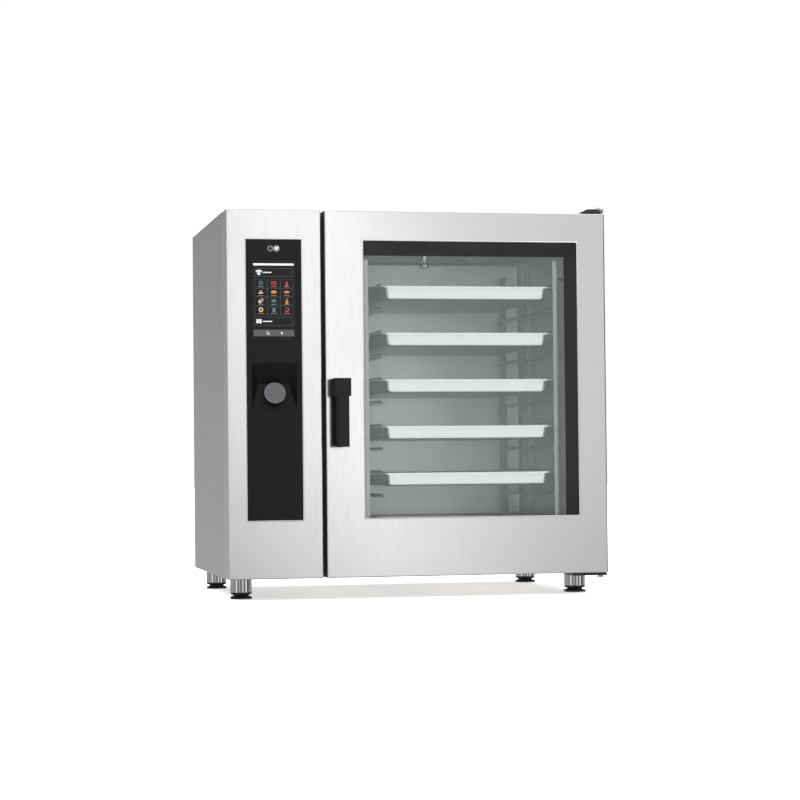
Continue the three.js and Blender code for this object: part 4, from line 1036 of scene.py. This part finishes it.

# ---- Knob ---------------------------------------------------------------
# A flat satin grey cap with a chamfer ring lightened as a painted highlight,
# set on a black moulded skirt that turns and pushes on the encoder's shaft.

knob_joint = next(j for j in frame["joints"] if j["name"] == "knob_turn")
knob_axis = Vector(knob_joint["axis"])
knob_place = (Matrix.Translation(knob_joint["pos_m"])
              @ knob_axis.to_track_quat("Z", "X").to_matrix().to_4x4())
KNOB_RADIUS = 0.031
KNOB_BASE = 0.0033  # over the slope of the well
KNOB_TOP = 0.0245
SHAFT_HOLE = 0.0045
CAP_DEPTH = 0.0030
skirt_profile = rounded_profile([
    (0, KNOB_BASE + 0.010), (SHAFT_HOLE, KNOB_BASE + 0.010), (SHAFT_HOLE, KNOB_BASE),
    (KNOB_RADIUS - 0.001, KNOB_BASE), (KNOB_RADIUS - 0.0005, KNOB_TOP - CAP_DEPTH),
    (0, KNOB_TOP - CAP_DEPTH)], 0.0006)
cap_profile = rounded_profile([
    (0, KNOB_TOP - CAP_DEPTH), (KNOB_RADIUS - 0.0002, KNOB_TOP - CAP_DEPTH),
    (KNOB_RADIUS, KNOB_TOP - 0.0012), (KNOB_RADIUS - 0.0012, KNOB_TOP),
    (KNOB_RADIUS - 0.0026, KNOB_TOP), (KNOB_RADIUS - 0.0034, KNOB_TOP - 0.0005),
    (0, KNOB_TOP - 0.0005)], 0.0004)
# moulded with an even satin skin
knob_grey = make_moulded_plastic("abs_satin_grey", "#414244", 0.40, 0.5)
place_piece("control_knob_skirt", turned_mesh("skirt", skirt_profile, knob_place, 96),
            black_abs, "knob", ["control_knob"])
place_piece("control_knob_cap", turned_mesh("cap", cap_profile, knob_place, 96),
            knob_grey, "knob")
# the chamfer ring is a lighter grey, a painted highlight: a thin line of light round the cap
ring_grey = make_moulded_plastic("abs_chamfer_light_grey", "#545557", 0.3, 0.5)
ring_profile = [(KNOB_RADIUS - 0.0022, KNOB_TOP + STAND_OFF),
                (KNOB_RADIUS - 0.0010, KNOB_TOP + STAND_OFF),
                (KNOB_RADIUS + 0.0002, KNOB_TOP - 0.0014), (KNOB_RADIUS + 0.0004, KNOB_TOP - 0.0013),
                (KNOB_RADIUS - 0.0008, KNOB_TOP + 0.0003), (KNOB_RADIUS - 0.0022, KNOB_TOP + 0.0003)]
place_piece("control_knob_ring", turned_mesh("ring", ring_profile, knob_place, 96, closed=True),
            ring_grey, "knob")

# ---- Fittings on the back and top ---------------------------------------
# The drain pipe is bent steel tube and the vent chimney a spun tube with a
# flange and a rolled rim. The inlet valve is turned brass, the cable gland
# moulded plastic.

soften("drain_pipe", cavity_steel, "oven")
CHIMNEY_HEIGHT = 0.065  # from the top sheet to the rim
FLANGE_REACH = 0.014  # how far the flange stands out round the tube
FLANGE_SEAT, FLANGE_TOP = 0.0005, 0.003  # above the top sheet
ROLL_REACH, ROLL_DEPTH = 0.003, 0.006  # of the rolled rim
TUBE_WALL = 0.002
low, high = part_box("vent_chimney")
chimney_place = Matrix.Translation(((low.x + high.x) / 2, (low.y + high.y) / 2, 0))
flange_radius = (high.x - low.x) / 2
tube_radius = flange_radius - FLANGE_REACH
casing_top = cad_box[1][2] - CHIMNEY_HEIGHT
chimney = turned_mesh("chimney", rounded_profile([
    (tube_radius - TUBE_WALL, low.z), (tube_radius, low.z), (tube_radius, casing_top + FLANGE_SEAT),
    (flange_radius, casing_top + FLANGE_SEAT), (flange_radius, casing_top + FLANGE_TOP),
    (tube_radius, casing_top + FLANGE_TOP), (tube_radius, high.z - ROLL_DEPTH),
    (tube_radius + ROLL_REACH, high.z - ROLL_DEPTH), (tube_radius + ROLL_REACH, high.z),
    (tube_radius - TUBE_WALL, high.z)], 0.001), chimney_place, closed=True)
place_piece("vent_chimney_tube", chimney, casing_steel, "oven", ["vent_chimney"])
# turned from bar and left bare, so it tarnishes to brown in places
brass = make_mottled("brass_turned", 1.0, 0.3, 14.3, "#D2B272", "#A98849")
soften("water_inlet_valve", brass, "oven", width=0.0008)
soften("cable_gland", black_abs, "oven", width=0.0008)

# ---- Inside the casing --------------------------------------------------
# Mineral wool round the cavity, fan motors, steam boiler, contactors, the
# control board and the encoder under the knob.

# felted from spun rock and pressed: a dull, shaggy, yellowish board
wool, tree, shader = new_material("mineral_wool_board", "#B5AB93", 0, 0.95)
coordinates = add_node(tree, "ShaderNodeTexCoord")
fibres = add_node(tree, "ShaderNodeTexNoise", inputs={
    "Vector": coordinates.outputs["Object"], "Scale": 220, "Detail": 6, "Roughness": 0.8})
fibre_tone = add_node(tree, "ShaderNodeMix", {"data_type": "RGBA"}, {
    0: fibres.outputs["Fac"], 6: linear("#9A9078"), 7: linear("#C9C0A8")})
tree.links.new(fibre_tone.outputs[2], shader.inputs["Base Color"])
fibre_bump = add_node(tree, "ShaderNodeBump", inputs={
    "Height": fibres.outputs["Fac"], "Strength": 0.8, "Distance": 0.002})
tree.links.new(fibre_bump.outputs["Normal"], shader.inputs["Normal"])

# etched copper under green lacquer, which shows the tracks as paler lines
circuit, tree, shader = new_material("epoxy_board_green", "#1F5A35", 0, 0.45)
coordinates = add_node(tree, "ShaderNodeTexCoord")
tracks = add_node(tree, "ShaderNodeTexBrick", inputs={
    "Vector": coordinates.outputs["Object"], "Scale": 120, "Color1": linear("#1F5A35"),
    "Color2": linear("#256A3F"), "Mortar": linear("#3C8554")})
tree.links.new(tracks.outputs["Color"], shader.inputs["Base Color"])

# moulded, plain and half matt
grey_plastic = make_moulded_plastic("polyamide_moulded_grey", "#6E7072", 0.5, 0.8)
inside = {
    "insulation_jacket": wool,
    "fan_motor_upper": galvanised,
    "fan_motor_lower": galvanised,
    "encoder_body": galvanised,
    "steam_boiler": cavity_steel,
    "contactor_block": grey_plastic,
    "control_board": circuit,
    "encoder_shaft": chrome,
}
for node, material in inside.items():
    nodes[node].data.materials.clear()
    nodes[node].data.materials.append(material)
